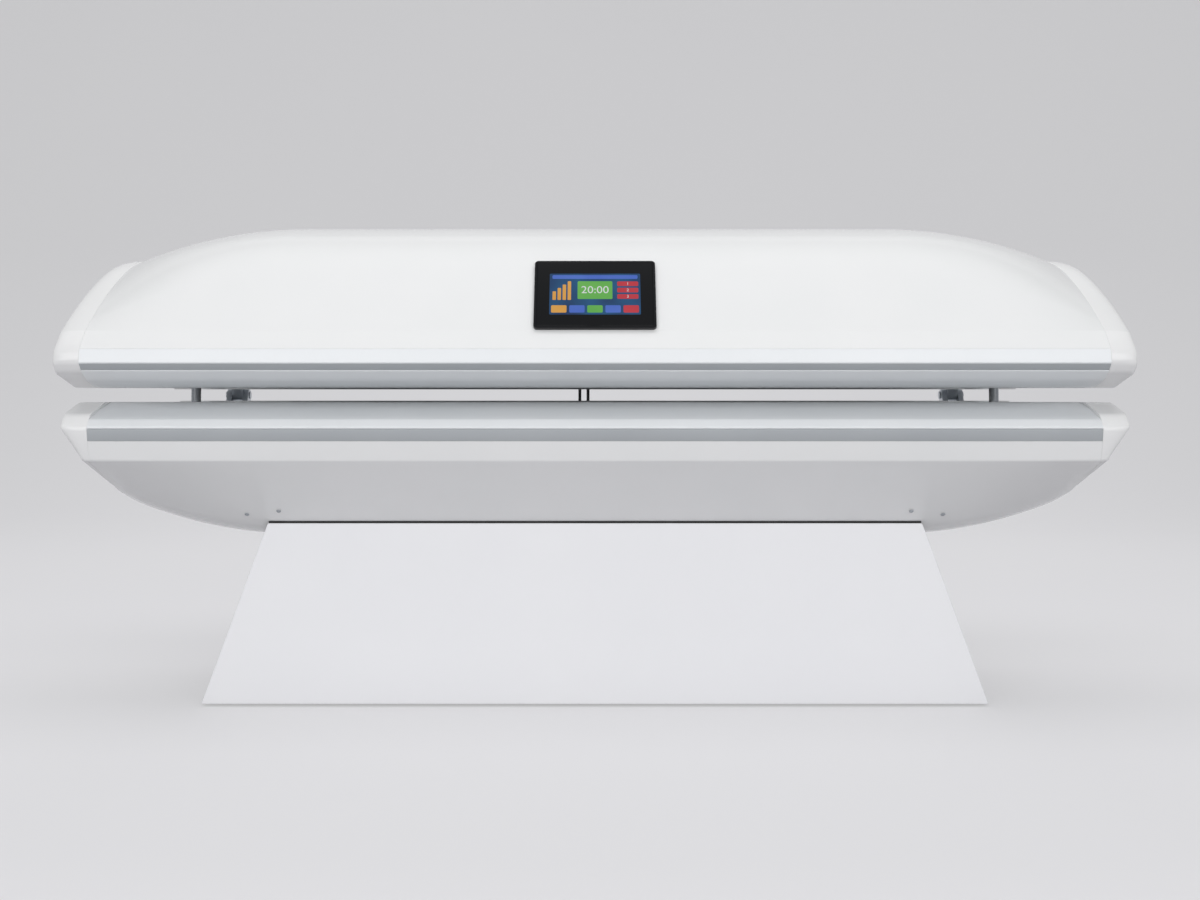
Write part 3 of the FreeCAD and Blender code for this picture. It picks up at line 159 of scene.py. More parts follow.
@dataclass(frozen=True)
class Finish:
    """A surface: its colour, gloss and the fine relief that its making leaves.

    A grain with stretch runs along X, as on a drawn or extruded piece.
    """

    name: str
    colour: str
    shade: str
    roughness: float
    rough_spread: float = 0.05
    metallic: float = 0.0
    ior: float = 1.5
    grain_mm: float = 4.0
    stretch: float = 1.0
    relief: float = 0.05
    relief_mm: float = 0.1
    cloud_mm: float = 180.0
    coat: float = 0.0
    transmission: float = 0.0
    sheen: float = 0.0
    grain_detail: float = 3.0
    cloud_detail: float = 2.0

    def material(self) -> Material:
        """Build the material once and hand out the same one after that."""
        made = bpy.data.materials.get(self.name)
        if made:
            return made
        made = bpy.data.materials.new(self.name)
        made.use_nodes = True
        tree = made.node_tree
        tree.nodes.clear()
        shader = self.shader(tree, add(tree, "TexCoord").outputs["Object"])
        add(tree, "OutputMaterial", None, Surface=shader.outputs[0])
        return made

    def tint(self, tree: NodeTree, place: NodeSocket) -> NodeSocket:
        """Cloud the colour with its shade."""
        cloud = add(tree, "TexNoise", None, Vector=place, Scale=1 / (self.cloud_mm * MM),
                    Detail=self.cloud_detail)
        return add(tree, "Mix", {"data_type": "RGBA"}, i0=cloud.outputs["Fac"],
                   i6=linear(self.colour), i7=linear(self.shade)).outputs[2]

    def shader(self, tree: NodeTree, place: NodeSocket) -> Node:
        """Set up clouded colour, roughness that follows the grain, and a fine bump."""
        squeeze = add(tree, "Mapping", None, Vector=place, Scale=(1 / self.stretch, 1, 1))
        grain = add(tree, "TexNoise", None, Vector=squeeze.outputs[0],
                    Scale=1 / (self.grain_mm * MM), Detail=self.grain_detail).outputs["Fac"]
        rough = add(tree, "MapRange", None, Value=grain, To_Min=self.roughness - self.rough_spread,
                    To_Max=self.roughness + self.rough_spread)
        bump = add(tree, "Bump", None, Height=grain, Strength=self.relief,
                   Distance=self.relief_mm * MM)
        shader = add(tree, "BsdfPrincipled", None, Base_Color=self.tint(tree, place),
                     Roughness=rough.outputs[0], Normal=bump.outputs[0], Metallic=self.metallic,
                     Coat_Weight=self.coat, Transmission_Weight=self.transmission,
                     Sheen_Weight=self.sheen)
        if self.metallic < METAL_FROM:
            shader.inputs["IOR"].default_value = self.ior
        return shader


@dataclass(frozen=True)
class Glow(Finish):
    """A lit part of the screen: a flat colour that gives a little light of its own."""

    cloud_detail: float = 1.0
    strength: float = 0.75

    def shader(self, tree: NodeTree, place: NodeSocket) -> Node:
        """Light a soft gradient of two colours from behind."""
        return add(tree, "BsdfPrincipled", None, Base_Color=UNLIT, Roughness=self.roughness,
                   Emission_Color=self.tint(tree, place), Emission_Strength=self.strength)


@dataclass(frozen=True)
class Ground(Finish):
    """The studio floor: pale where it is seen, with a plain level of light thrown back."""

    cloud_detail: float = 1.0
    dim: str = "#9A999D"
    throw: str = "#B7B6BA"
    glow: float = 0.5

    def shader(self, tree: NodeTree, place: NodeSocket) -> Node:
        """Let the floor glow pale where it is seen directly, mirrored or through glass."""
        path = add(tree, "LightPath").outputs
        seen = path["Is Camera Ray"]
        for ray in ("Is Glossy Ray", "Is Transmission Ray"):
            seen = add(tree, "Math", {"operation": "MAXIMUM"}, i0=seen, i1=path[ray]).outputs[0]
        glow = add(tree, "Math", {"operation": "MULTIPLY"}, i0=seen, i1=self.glow)
        base = add(tree, "Mix", {"data_type": "RGBA"}, i0=seen, i6=linear(self.throw),
                   i7=linear(self.dim))
        return add(tree, "BsdfPrincipled", None, Base_Color=base.outputs[2],
                   Roughness=self.roughness, Emission_Color=self.tint(tree, place),
                   Emission_Strength=glow.outputs[0])


# Acrylic-capped ABS, vacuum formed and glossy: clean highlights over a faint orange peel
SHELL = Finish("gloss_abs_white", "#EEEEEE", "#E9EAEA", 0.16, 0.03, grain_mm=9, relief=0.04,
               coat=0.25)
# Injection-moulded ABS of caps and trims: the same white, a little less gloss
CAP = Finish("moulded_abs_white", "#EEEEEE", "#E8E8E8", 0.24, 0.04, grain_mm=5, relief=0.05)
# Extruded aluminium under silver-white satin lacquer: soft sheen over faint draw lines, which are
# 2 mm wide so that they show
RAIL = Finish("satin_silver_lacquer", "#EAECEE", "#E4E7E9", 0.42, 0.03, metallic=0.1, grain_mm=2.0,
              stretch=200, relief=0.02, relief_mm=0.03)
# Extruded strip, anodised: the same draw lines under a darker mid grey, which is painted shade of
# the dark band along each rail's nose
SHADE_BAND = Finish("grey_anodised_strip", "#B0B4B7", "#A6AAAE", 0.38, 0.04, metallic=0.4, grain_mm=2.0,
              stretch=200, relief=0.03, relief_mm=0.03)
# Sheet steel, powder coated: fine even pimples, drawn 3 mm wide so that they show
POWDER = Finish("white_powder_coat", "#F3F3F5", "#EEEEF1", 0.42, 0.05, grain_mm=3, relief=0.10,
                cloud_mm=300)
# Tube frame, powder coated dark grey
FRAME_PAINT = Finish("grey_powder_coat", "#4C4F52", "#45484B", 0.5, 0.06, grain_mm=3, relief=0.12)
# Folded aluminium cases of the LED drivers
DRIVER = Finish("plain_aluminium_sheet", "#B6B9BC", "#A9ACB0", 0.38, 0.08, metallic=1.0, grain_mm=2,
                stretch=40)
# Ribs of cut rigid foam board
RIB = Finish("cut_pvc_board", "#CBCBC8", "#C2C2BE", 0.6, 0.06, grain_mm=3, relief=0.15)
# Aluminium-core circuit boards under white solder mask
BOARD = Finish("white_solder_mask", "#F2F2EF", "#E9E9E4", 0.35, 0.05, grain_mm=2)
# Epoxy lenses of the red emitters, with a warm tint
LENS = Finish("led_epoxy_lens", "#E7B9AE", "#D99C90", 0.12, 0.03, ior=1.55, grain_mm=3)
# Cast acrylic, polished: hardly any relief
ACRYLIC = Finish("clear_cast_acrylic", "#F6FAFA", "#F2F7F7", 0.03, 0.01, ior=1.49, grain_mm=40,
                 relief=0.01, transmission=1.0)
# Glass-filled nylon of fans and sockets, dull black
BLACK = Finish("black_moulded_nylon", "#1B1C1E", "#151617", 0.5, 0.08, grain_mm=1.5, relief=0.15)
# Moulded grilles, fine spark texture
GRILLE = Finish("white_textured_abs", "#E4E4E2", "#DCDCDA", 0.45, 0.06, grain_mm=1.5, relief=0.15)
# Zinc-plated steel, faintly mottled
ZINC = Finish("zinc_plated_steel", "#D2D6DA", "#BFC4C9", 0.34, 0.08, metallic=1.0, grain_mm=6,
              relief=0.08)
# Grey enamel of gas spring tubes and screw heads
ENAMEL = Finish("grey_enamel", "#A6ABB1", "#9DA2A8", 0.28, 0.05, grain_mm=6, relief=0.05, coat=0.3)
# Hard-chromed piston rods
CHROME = Finish("hard_chrome", "#DEE0E2", "#D3D6D9", 0.08, 0.03, metallic=1.0, grain_mm=3)
# Toughened glass printed black from behind
GLASS = Finish("black_printed_glass", "#07080B", "#050609", 0.06, 0.02, ior=1.52, grain_mm=60,
               relief=0.01)
# Moulded gloss-black bezel
BEZEL = Finish("gloss_black_abs", "#0E0F13", "#0A0B0E", 0.2, 0.05, grain_mm=3, relief=0.06)
# Red rocker
ROCKER = Finish("red_polycarbonate", "#9A2020", "#861818", 0.2, 0.04, ior=1.58, grain_mm=3)
# Rubber of glides, seals and lead sleeves; on the pedestal seals its black is painted shadow of the
# gap under the tray
RUBBER = Finish("black_rubber", "#1C1C1C", "#161616", 0.7, 0.08, grain_mm=2, relief=0.2, sheen=0.2)
# Painted studio floor, pale to the eye
FLOOR = Ground("pale_studio_floor", "#F2F2F2", "#EFEFF0", 0.8, cloud_mm=1500)

# Lit areas of the display, backlit film behind the glass
BACKLIGHT = Glow("display_backlight", "#120F4A", "#1B6C9C", 0.3, cloud_mm=55)
BLUE_LIGHT = Glow("display_blue", "#4468CC", "#587CD6", 0.3, cloud_mm=40)
GREEN_LIGHT = Glow("display_green", "#58B048", "#78C45C", 0.3, cloud_mm=40)
AMBER_LIGHT = Glow("display_amber", "#E2A040", "#F0B65C", 0.3, cloud_mm=40)
RED_LIGHT = Glow("display_red", "#C22E3C", "#D6424C", 0.3, cloud_mm=40)
WHITE_LIGHT = Glow("display_white", "#F0F2F2", "#E6EAEA", 0.3, cloud_mm=40)

CAD_FINISHES: dict[str, Finish] = {
    "floor_frame": FRAME_PAINT, "uprights": FRAME_PAINT, "cradle_beams": FRAME_PAINT,
    "panel_brackets": FRAME_PAINT, "equipment_tray": FRAME_PAINT, "led_drivers": DRIVER,
    "tray_ribs": RIB, "canopy_ribs": RIB, "tray_led_boards": BOARD, "canopy_led_boards": BOARD,
    "tray_fan_frames": BLACK, "canopy_fan_frames": BLACK, "screen_controller": BLACK,
    "inlet_blades": ZINC, "rocker_pin": ZINC,
}


# Modelling helpers

# Points closer than this are one, in a swept mesh, a CAD mesh and set type
LOFT_WELD_MM = 0.01
CAD_WELD_MM = 0.004
TYPE_WELD_MM = 0.001
# Faces of a CAD mesh that differ by less than this are one flat face
FLAT_DEGREES = 0.4


def leave_edit() -> None:
    """Go back to object mode."""
    bpy.ops.object.mode_set(mode="OBJECT")


def deselect() -> None:
    """Leave edit mode and let go of every object."""
    if bpy.context.object and bpy.context.object.mode != "OBJECT":
        leave_edit()
    bpy.ops.object.select_all(action="DESELECT")


def pick(obj: Object) -> None:
    """Make one object the selected and active one."""
    deselect()
    obj.select_set(True)
    bpy.context.view_layer.objects.active = obj


def edit_all(obj: Object, mode: str = "FACE") -> None:
    """Enter edit mode (VERT, EDGE or FACE) with the whole mesh selected."""
    pick(obj)
    bpy.ops.object.mode_set(mode="EDIT")
    bpy.ops.mesh.select_mode(type=mode)
    bpy.ops.mesh.select_all(action="SELECT")


def weld(obj: Object, gap_mm: float) -> None:
    """Enter edit mode and make one of points that lie closer than a gap."""
    edit_all(obj, "VERT")
    bpy.ops.mesh.remove_doubles(threshold=gap_mm * MM)


def face_out() -> None:
    """Turn the faces of the mesh in edit mode outwards, and leave edit mode."""
    bpy.ops.mesh.select_all(action="SELECT")
    bpy.ops.mesh.normals_make_consistent(inside=False)
    leave_edit()


def apply_modifier(obj: Object, kind: str, **settings: object) -> None:
    """Add a modifier, set it and apply it."""
    pick(obj)
    bpy.ops.object.modifier_add(type=kind)
    modifier = obj.modifiers[-1]
    for key, value in settings.items():
        setattr(modifier, key, value)
    bpy.ops.object.modifier_apply(modifier=modifier.name)


def smooth(obj: Object, degrees: float = 32.0) -> None:
    """Shade smooth below an angle."""
    pick(obj)
    bpy.ops.object.shade_smooth_by_angle(angle=math.radians(degrees))


def soften(obj: Object, width_mm: float, segments: int = 2, degrees: float = 40.0) -> None:
    """Round the sharp edges of a mesh."""
    apply_modifier(obj, "BEVEL", width=width_mm * MM, segments=segments, limit_method="ANGLE",
                   angle_limit=math.radians(degrees), use_clamp_overlap=True)


def settle(obj: Object) -> None:
    """Move an object's place into its mesh."""
    pick(obj)
    bpy.ops.object.transform_apply(location=True, rotation=True, scale=True)


def carve(obj: Object, tool: Object) -> None:
    """Cut a tool out of a mesh and throw the tool away."""
    apply_modifier(obj, "BOOLEAN", object=tool, operation="DIFFERENCE", solver="EXACT")
    bpy.data.objects.remove(tool)


def repeat(obj: Object, count: int, step: Place) -> None:
    """Repeat a mesh at a constant step, in metres."""
    apply_modifier(obj, "ARRAY", count=count, use_relative_offset=False, use_constant_offset=True,
                   constant_offset_displace=step)


def twin(obj: Object) -> Object:
    """Copy an object with a mesh of its own."""
    copy = obj.copy()
    copy.data = obj.data.copy()
    bpy.context.scene.collection.objects.link(copy)
    return copy


def joined(pieces: Sequence[Object]) -> Object:
    """Make one object of several."""
    pick(pieces[0])
    for piece in pieces[1:]:
        piece.select_set(True)
    bpy.ops.object.join()
    return bpy.context.object


def half_ball(radius_mm: float, segments: int, rings: int, upper: bool) -> Object:
    """Model one half of a ball that is cut at the XY plane.

    Args:
        radius_mm: radius of the ball.
        segments: facets around it.
        rings: facets from pole to pole.
        upper: whether the upper half stays.
    Returns:
        The half, closed by a flat face.
    """
    deselect()
    bpy.ops.mesh.primitive_uv_sphere_add(segments=segments, ring_count=rings, radius=radius_mm * MM)
    obj = bpy.context.object
    edit_all(obj)
    bpy.ops.mesh.bisect(plane_co=(0, 0, 0), plane_no=(0, 0, 1), clear_inner=upper,
                        clear_outer=not upper, use_fill=True)
    leave_edit()
    return obj


def loft(name: str, rings: Sequence[Sequence[Vector]], closed: bool = True) -> Object:
    """Lay a grid over a row of sections.

    Args:
        name: name of the new object.
        rings: sections with the same number of points each.
        closed: whether each section is a closed loop, whose two ends are then filled.
    Returns:
        The new mesh object.
    """
    across = len(rings[0]) if closed else len(rings[0]) - 1
    along = len(rings) - 1
    deselect()
    bpy.ops.mesh.primitive_grid_add(x_subdivisions=along, y_subdivisions=across, size=1.0)
    obj = bpy.context.object
    obj.name = name
    for vertex in obj.data.vertices:
        ring = rings[round((vertex.co.x + 0.5) * along)]
        vertex.co = ring[round((vertex.co.y + 0.5) * across) % len(ring)]
    weld(obj, LOFT_WELD_MM)
    if closed:
        bpy.ops.mesh.fill_holes(sides=0)
    face_out()
    return obj


def fillet(points: Sequence[Point], radii: dict[int, float], steps: int = 6) -> list[Point]:
    """Round some corners of an outline.

    Args:
        points: corners of the outline.
        radii: corner number to radius.
        steps: facets in a rounding.
    Returns:
        The outline with arcs in place of those corners.
    """
    made: list[Point] = []
    for i, corner in enumerate(points):
        if i not in radii:
            made.append(corner)
            continue
        here = Vector(corner)
        back = (Vector(points[i - 1]) - here).normalized()
        ahead = (Vector(points[(i + 1) % len(points)]) - here).normalized()
        half = back.angle(ahead) / 2
        reach = radii[i] / math.tan(half)
        centre = here + (back + ahead).normalized() * (radii[i] / math.sin(half))
        start = here + back * reach - centre
        sweep = start.angle_signed(here + ahead * reach - centre)
        for k in range(steps + 1):
            turn = -sweep * k / steps
            made.append(tuple(centre + Matrix.Rotation(turn, 2) @ start))
    return made


def enrol(obj: Object, finish: Finish, body: str, nodes: Iterable[str] = ()) -> None:
    """Give a finished piece its material, its body and the CAD nodes that it stands for."""
    obj.data.materials.clear()
    obj.data.materials.append(finish.material())
    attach(obj, body)
    if nodes:
        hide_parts(*nodes)
    log.info("piece %s: %d faces, %s", obj.name, len(obj.data.polygons), finish.name)


def merged_copy(node: str, name: str) -> Object:
    """Copy a CAD node as a welded mesh, free of its body, with flat faces made whole."""
    obj = twin(frame["nodes"][node])
    obj.name = name
    obj.parent = None
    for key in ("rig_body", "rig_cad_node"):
        del obj[key]
    weld(obj, CAD_WELD_MM)
    bpy.ops.mesh.dissolve_limited(angle_limit=math.radians(FLAT_DEGREES))
    leave_edit()
    return obj


def dress_copy(node: str, finish: Finish, body: str, round_mm: float) -> Object:
    """Stand a welded, softened copy in for a CAD node."""
    obj = merged_copy(node, node + "_skin")
    soften(obj, round_mm)
    smooth(obj)
    enrol(obj, finish, body, [node])
    return obj


# Form of the two shells

@dataclass
class LipForm:
    """Section of a lip, in millimetres: u behind the nose, w away from the middle of the gap."""

    half_depth: float
    gap_z: float
    lip_w: float = 13.5
    lip_inset: float = 140.0
    ledge: float = 18.0
    wall: float = 4.0
    bevel: Point = (13.0, 45.0)
    nose: Point = (0.0, 60.0)
    top: Point = (4.0, 85.0)
    seat: float = 0.3

    def point(self, x: float, side: Side, half: Half, uw: Point) -> Vector:
        """Place a point of a section in the frame, in metres."""
        y = side.value * (self.half_depth - uw[0])
        return Vector((x, y, self.gap_z + half.value * uw[1])) * MM


@dataclass
class RailForm:
    """Corners of one half's lip rails as (u, w), in millimetres; those in front carry a radius.

    The bulge counts w from the lip, and the tongue counts from the lip's top.
    """

    bulge: Sequence[Corner]
    nose: Sequence[Corner]
    tongue: Sequence[Point]
    inner: Sequence[Point]
    band: Sequence[Point]
    ledge_round: float = 60.0
    ledge_back: float = 0.6
    band_round: float = 0.4


# Canopy rail: a curling bevel, and a recess for the strip whose grey paints the shade next to the
# bevel
CANOPY_RAIL = RailForm(
    bulge=(((92.0, 2.0), 160.0), ((42.0, 13.5), 70.0)),
    nose=(((12.4, 44.6), 1.2), ((14.4, 46.6), 0.0), ((3.2, 58.4), 0.0), ((1.2, 57.6), 0.8),
          (LipForm.nose, 2.5), (LipForm.top, 0.8)),
    tongue=((6.2, 0.0), (15.2, 9.8), (17.4, 7.8), (7.4, -3.2), (3.6, -4.0)),
    inner=((5.4, 64.0), (18.0, 50.0)),
    band=((1.6, 57.6), (12.6, 46.2), (14.0, 47.0), (3.4, 58.2)))
# Tray rail: an even bevel, and a recess for the strip whose grey paints the shade beyond the nose
TRAY_RAIL = RailForm(
    bulge=(((75.3, 11.8), 300.0),),
    nose=((LipForm.bevel, 16.0), ((0.0, 58.5), 3.0), ((0.3, 61.8), 0.8), ((2.6, 62.6), 0.0),
          ((6.4, 84.9), 0.0)),
    tongue=((4.8, 0.0), (8.4, 13.5), (11.3, 12.7), (8.0, -6.0), (4.2, -14.0)),
    inner=((4.2, 61.2), (15.3, 48.5)),
    band=((1.0, 62.8), (4.6, 84.7), (6.2, 84.7), (2.7, 62.9)))


@dataclass
class ShellForm:
    """Sizes of one shell in millimetres and degrees; pairs give the straight middle and the seam.

    The shoulder is the tangent of its arc, as a share of the way from the crease to the roof.
    """

    half: Half
    crease: Point
    rise: Point
    shoulder: Point
    roof_radius: Point = (0.0, 0.0)
    roof_angle: Point = (0.0, 0.0)
    floor_u: float = 0.0
    end_lift: float = 0.0
    lift_x: float = 895.0
    straight_x: float = 600.0
    seam_x: float = 950.0
    crease_round: float = 16.0
    arc_steps: int = 14
    roof_steps: int = 16

    def share(self, x: float) -> float:
        """Share of the taper that is reached at a station."""
        run = max(0.0, abs(x) - self.straight_x) / (self.seam_x - self.straight_x)
        return run ** 2

    def quarter(self, lip: LipForm, x: float) -> list[Point]:
        """Half of a section as (u, w), from the rail's edge up to the middle of the roof."""
        share = self.share(x)
        rise, reach, roof_radius, roof_degrees = (
            pair[0] + (pair[1] - pair[0]) * share
            for pair in (self.rise, self.shoulder, self.roof_radius, self.roof_angle))
        lift = max(0.0, (abs(x) - self.lift_x) / (self.seam_x - self.lift_x))
        rise -= self.end_lift * lift ** 2
        roof = math.radians(roof_degrees)
        joint_u = lip.half_depth - roof_radius * math.sin(roof) if roof else self.floor_u
        joint_w = rise - roof_radius * (1 - math.cos(roof))
        tangent = reach * math.hypot(joint_u - self.crease[0], joint_w - self.crease[1])
        slope = math.atan2(joint_w - tangent * math.sin(roof) - self.crease[1],
                           joint_u - tangent * math.cos(roof) - self.crease[0])
        radius = tangent / math.tan((slope - roof) / 2)
        points: list[Point] = []
        for k in range(self.arc_steps + 1):
            angle = slope + (roof - slope) * k / self.arc_steps
            points.append((joint_u - radius * (math.sin(angle) - math.sin(roof)),
                           joint_w - radius * (math.cos(roof) - math.cos(angle))))
        for k in range(1, self.roof_steps + 1):
            angle = roof * (1 - k / self.roof_steps)
            flat_u = joint_u + (lip.half_depth - joint_u) * k / self.roof_steps
            u = lip.half_depth - roof_radius * math.sin(angle) if roof else flat_u
            points.append((u, rise - roof_radius * (1 - math.cos(angle))))
        edge = (lip.top[0], lip.top[1] + lip.seat)
        return fillet([edge, self.crease] + points[:1], {1: self.crease_round})[:-1] + points

    def ring(self, lip: LipForm, x: float, lead: Sequence[Point] = ()) -> list[Vector]:
        """Section from front to rear, in metres, with lead points before the rail's edge."""
        quarter = list(lead) + self.quarter(lip, x)
        front = [lip.point(x, Side.FRONT, self.half, uw) for uw in quarter]
        rear = [lip.point(x, Side.REAR, self.half, uw) for uw in quarter]
        return front + rear[-2::-1]


# Radii of a cap's lip at ledge, bevel and nose, by corner number
CAP_ROUNDS = {1: 60.0, 2: 28.0, 3: 16.0}
# How far a cap's ledge goes in and up with its rim, as shares of the rim's depth
CAP_LEDGE = (5, 0.1)


@dataclass
class Shell:
    """One glossy shell, its end caps and the two rails along its lip."""

    lip: LipForm
    form: ShellForm
    rail: RailForm
    cap_length: float
    cap_tall: float
    cap_foot: float = 1.0
    cap_rim: Point = (0.0, 0.0)
    cap_wide: float = 0.985
    foot_margin: float = 8.0
    mouth_slack: float = 40.0
    sleeve: float = 0.0
    wall: float = 4.0
    middle_steps: int = 6
    taper_steps: int = 22
    cap_steps: int = 22

    @property
    def cut_x(self) -> float:
        """Station at which shell and rails end and a cap begins."""
        return self.form.seam_x - self.sleeve

    def stations(self) -> list[float]:
        """Stations along the bed, close together where the ends taper."""
        start, steps = self.form.straight_x, self.taper_steps
        end = [start + (self.cut_x - start) * k / steps for k in range(steps + 1)]
        parts = self.middle_steps
        middle = [start * k / parts for k in range(1 - parts, parts)]
        return [-x for x in reversed(end)] + middle + end

    def build_shell(self) -> Object:
        """Model the shell as one swept skin with a wall, before holes are cut in it."""
        rings = [self.form.ring(self.lip, x) for x in self.stations()]
        obj = loft(self.form.half.word + "_shell_skin", rings, closed=False)
        self.face_outwards(obj)
        apply_modifier(obj, "SOLIDIFY", thickness=self.wall * MM, offset=-1.0, use_even_offset=True)
        return obj

    def face_outwards(self, obj: Object) -> None:
        """Turn an open skin so that its faces look away from the tunnel."""
        middle = min(obj.data.polygons,
                     key=lambda face: (face.center.xy.length, -abs(face.center.z)))
        if middle.normal.z * self.form.half.value < 0:
            edit_all(obj)
            bpy.ops.mesh.flip_normals()
            leave_edit()

    def cap_rings(self, end: End) -> list[list[Vector]]:
        """Closed sections of an end cap, rounded over towards its tip."""
        lip, form = self.lip, self.form
        rim_u, rim_w = self.cap_rim
        ledge = (lip.lip_inset - CAP_LEDGE[0] * rim_u, lip.lip_w + CAP_LEDGE[1] * rim_u)
        bevel = (lip.bevel[0] + rim_u, lip.bevel[1] - rim_w)
        corners = [(lip.lip_inset + lip.ledge, lip.lip_w), ledge, bevel, lip.nose, lip.top,
                   form.crease]
        lead = fillet(corners, CAP_ROUNDS)[:-2]
        foot = (lip.gap_z + form.half.value * lip.lip_w) * MM
        start = self.cut_x + lip.seat
        rings = []
        for k in range(self.cap_steps + 1):
            share = math.sin(math.pi / 2 * k / self.cap_steps)
            turned = 1 - math.sqrt(max(0.0, 1 - share ** 3))
            tall = 1 - (1 - self.cap_tall) * turned
            wide = 1 - (1 - self.cap_wide) * turned
            x = start + (self.cap_length - lip.seat) * share
            base = form.ring(lip, min(x, form.seam_x), lead)
            rings.append([Vector((end.value * x * MM, p.y * wide, foot + (p.z - foot) * tall))
                          for p in base])
        return [[self.drawn_in(p, end) for p in ring] for ring in rings]

    def drawn_in(self, point: Vector, end: End) -> Vector:
        """Pull a point of a cap towards the seam, to cap_foot of its length at the crease."""
        nose = self.lip.nose[1]
        away = abs(point.z / MM - self.lip.gap_z) - nose
        share = min(1.0, max(0.0, away / (self.form.crease[1] - self.foot_margin - nose)))
        keep = 1 - (1 - self.cap_foot) * share
        seam = end.value * (self.cut_x + self.lip.seat) * MM
        return Vector((seam + (point.x - seam) * keep, point.y, point.z))

    def build_cap(self, end: End, mouth: "Tunnel") -> None:
        """Model an end cap and open the tunnel's mouth in it."""
        half = self.form.half
        node = f"{half.word}_{end.word}_cap"
        obj = loft(node + "_skin", self.cap_rings(end))
        middle = end.value * (self.cut_x + self.cap_length / 2)
        carve(obj, mouth.drum(half, middle, self.cap_length + self.mouth_slack))
        soften(obj, width_mm=2.0, segments=3, degrees=50)
        smooth(obj, degrees=40)
        enrol(obj, CAP, half.body, [node])

    def rail_corners(self, side: Side) -> list[Corner]:
        """Outline of a lip rail: ledge, bevel, nose, recess for the strip, tongue, inner wall.

        Args:
            side: front or rear; a front bevel bulges, a rear one is flat under the hinge leaves.
        Returns:
            Corners, each with the radius of its rounding.
        """
        lip, rail = self.lip, self.rail
        edge_u, inner_w = lip.lip_inset + lip.ledge, lip.lip_w + lip.wall
        corners = [((edge_u, lip.lip_w), 0.0), ((lip.lip_inset, lip.lip_w), rail.ledge_round)]
        if side is Side.FRONT:
            corners += [((u, lip.lip_w + w), radius) for (u, w), radius in rail.bulge]
        corners += rail.nose
        tongue = [(lip.top[0] + u, lip.top[1] + w) for u, w in rail.tongue]
        ledge = [(lip.lip_inset + rail.ledge_back, inner_w), (edge_u, inner_w)]
        return corners + [(uw, 0.0) for uw in (*tongue, *rail.inner, *ledge)]

    def sweep(self, name: str, side: Side, outline: Sequence[Point]) -> Object:
        """Sweep a closed outline of (u, w) along the lip, from cap to cap."""
        half = self.form.half
        obj = loft(name, [[self.lip.point(x, side, half, uw) for uw in outline]
                          for x in (-self.cut_x, self.cut_x)])
        smooth(obj, degrees=25)
        return obj

    def build_rail(self, side: Side) -> None:
        """Model a lip rail and the grey strip that lies in its recess, whose grey is painted shade.
        """
        half = self.form.half
        name = f"{half.word}_{side.word}"
        corners = self.rail_corners(side)
        radii = {i: radius for i, (_, radius) in enumerate(corners) if radius}
        outline = fillet([uw for uw, _ in corners], radii, steps=8)
        obj = self.sweep(name + "_rail_skin", side, outline)
        enrol(obj, RAIL, half.body, [name + "_rail"])
        # The strip's darker grey finish is painted shade along the rail's nose
        radii = {i: self.rail.band_round for i in (0, 1)}
        obj = self.sweep(name + "_band", side, fillet(self.rail.band, radii, steps=4))
        enrol(obj, SHADE_BAND, half.body)

    def surface(self, u: float, x: float) -> tuple[Vector, Vector]:
        """Point and outward normal of the front at a depth and a station, in the frame."""
        row = self.form.quarter(self.lip, x)
        k = next(i for i in range(1, len(row)) if row[i][0] >= u)
        (u0, w0), (u1, w1) = row[k - 1], row[k]
        here = (u, w0 + (w1 - w0) * (u - u0) / (u1 - u0))
        normal = Vector((0, -(w1 - w0), self.form.half.value * (u1 - u0))).normalized()
        return self.lip.point(x, Side.FRONT, self.form.half, here), normal


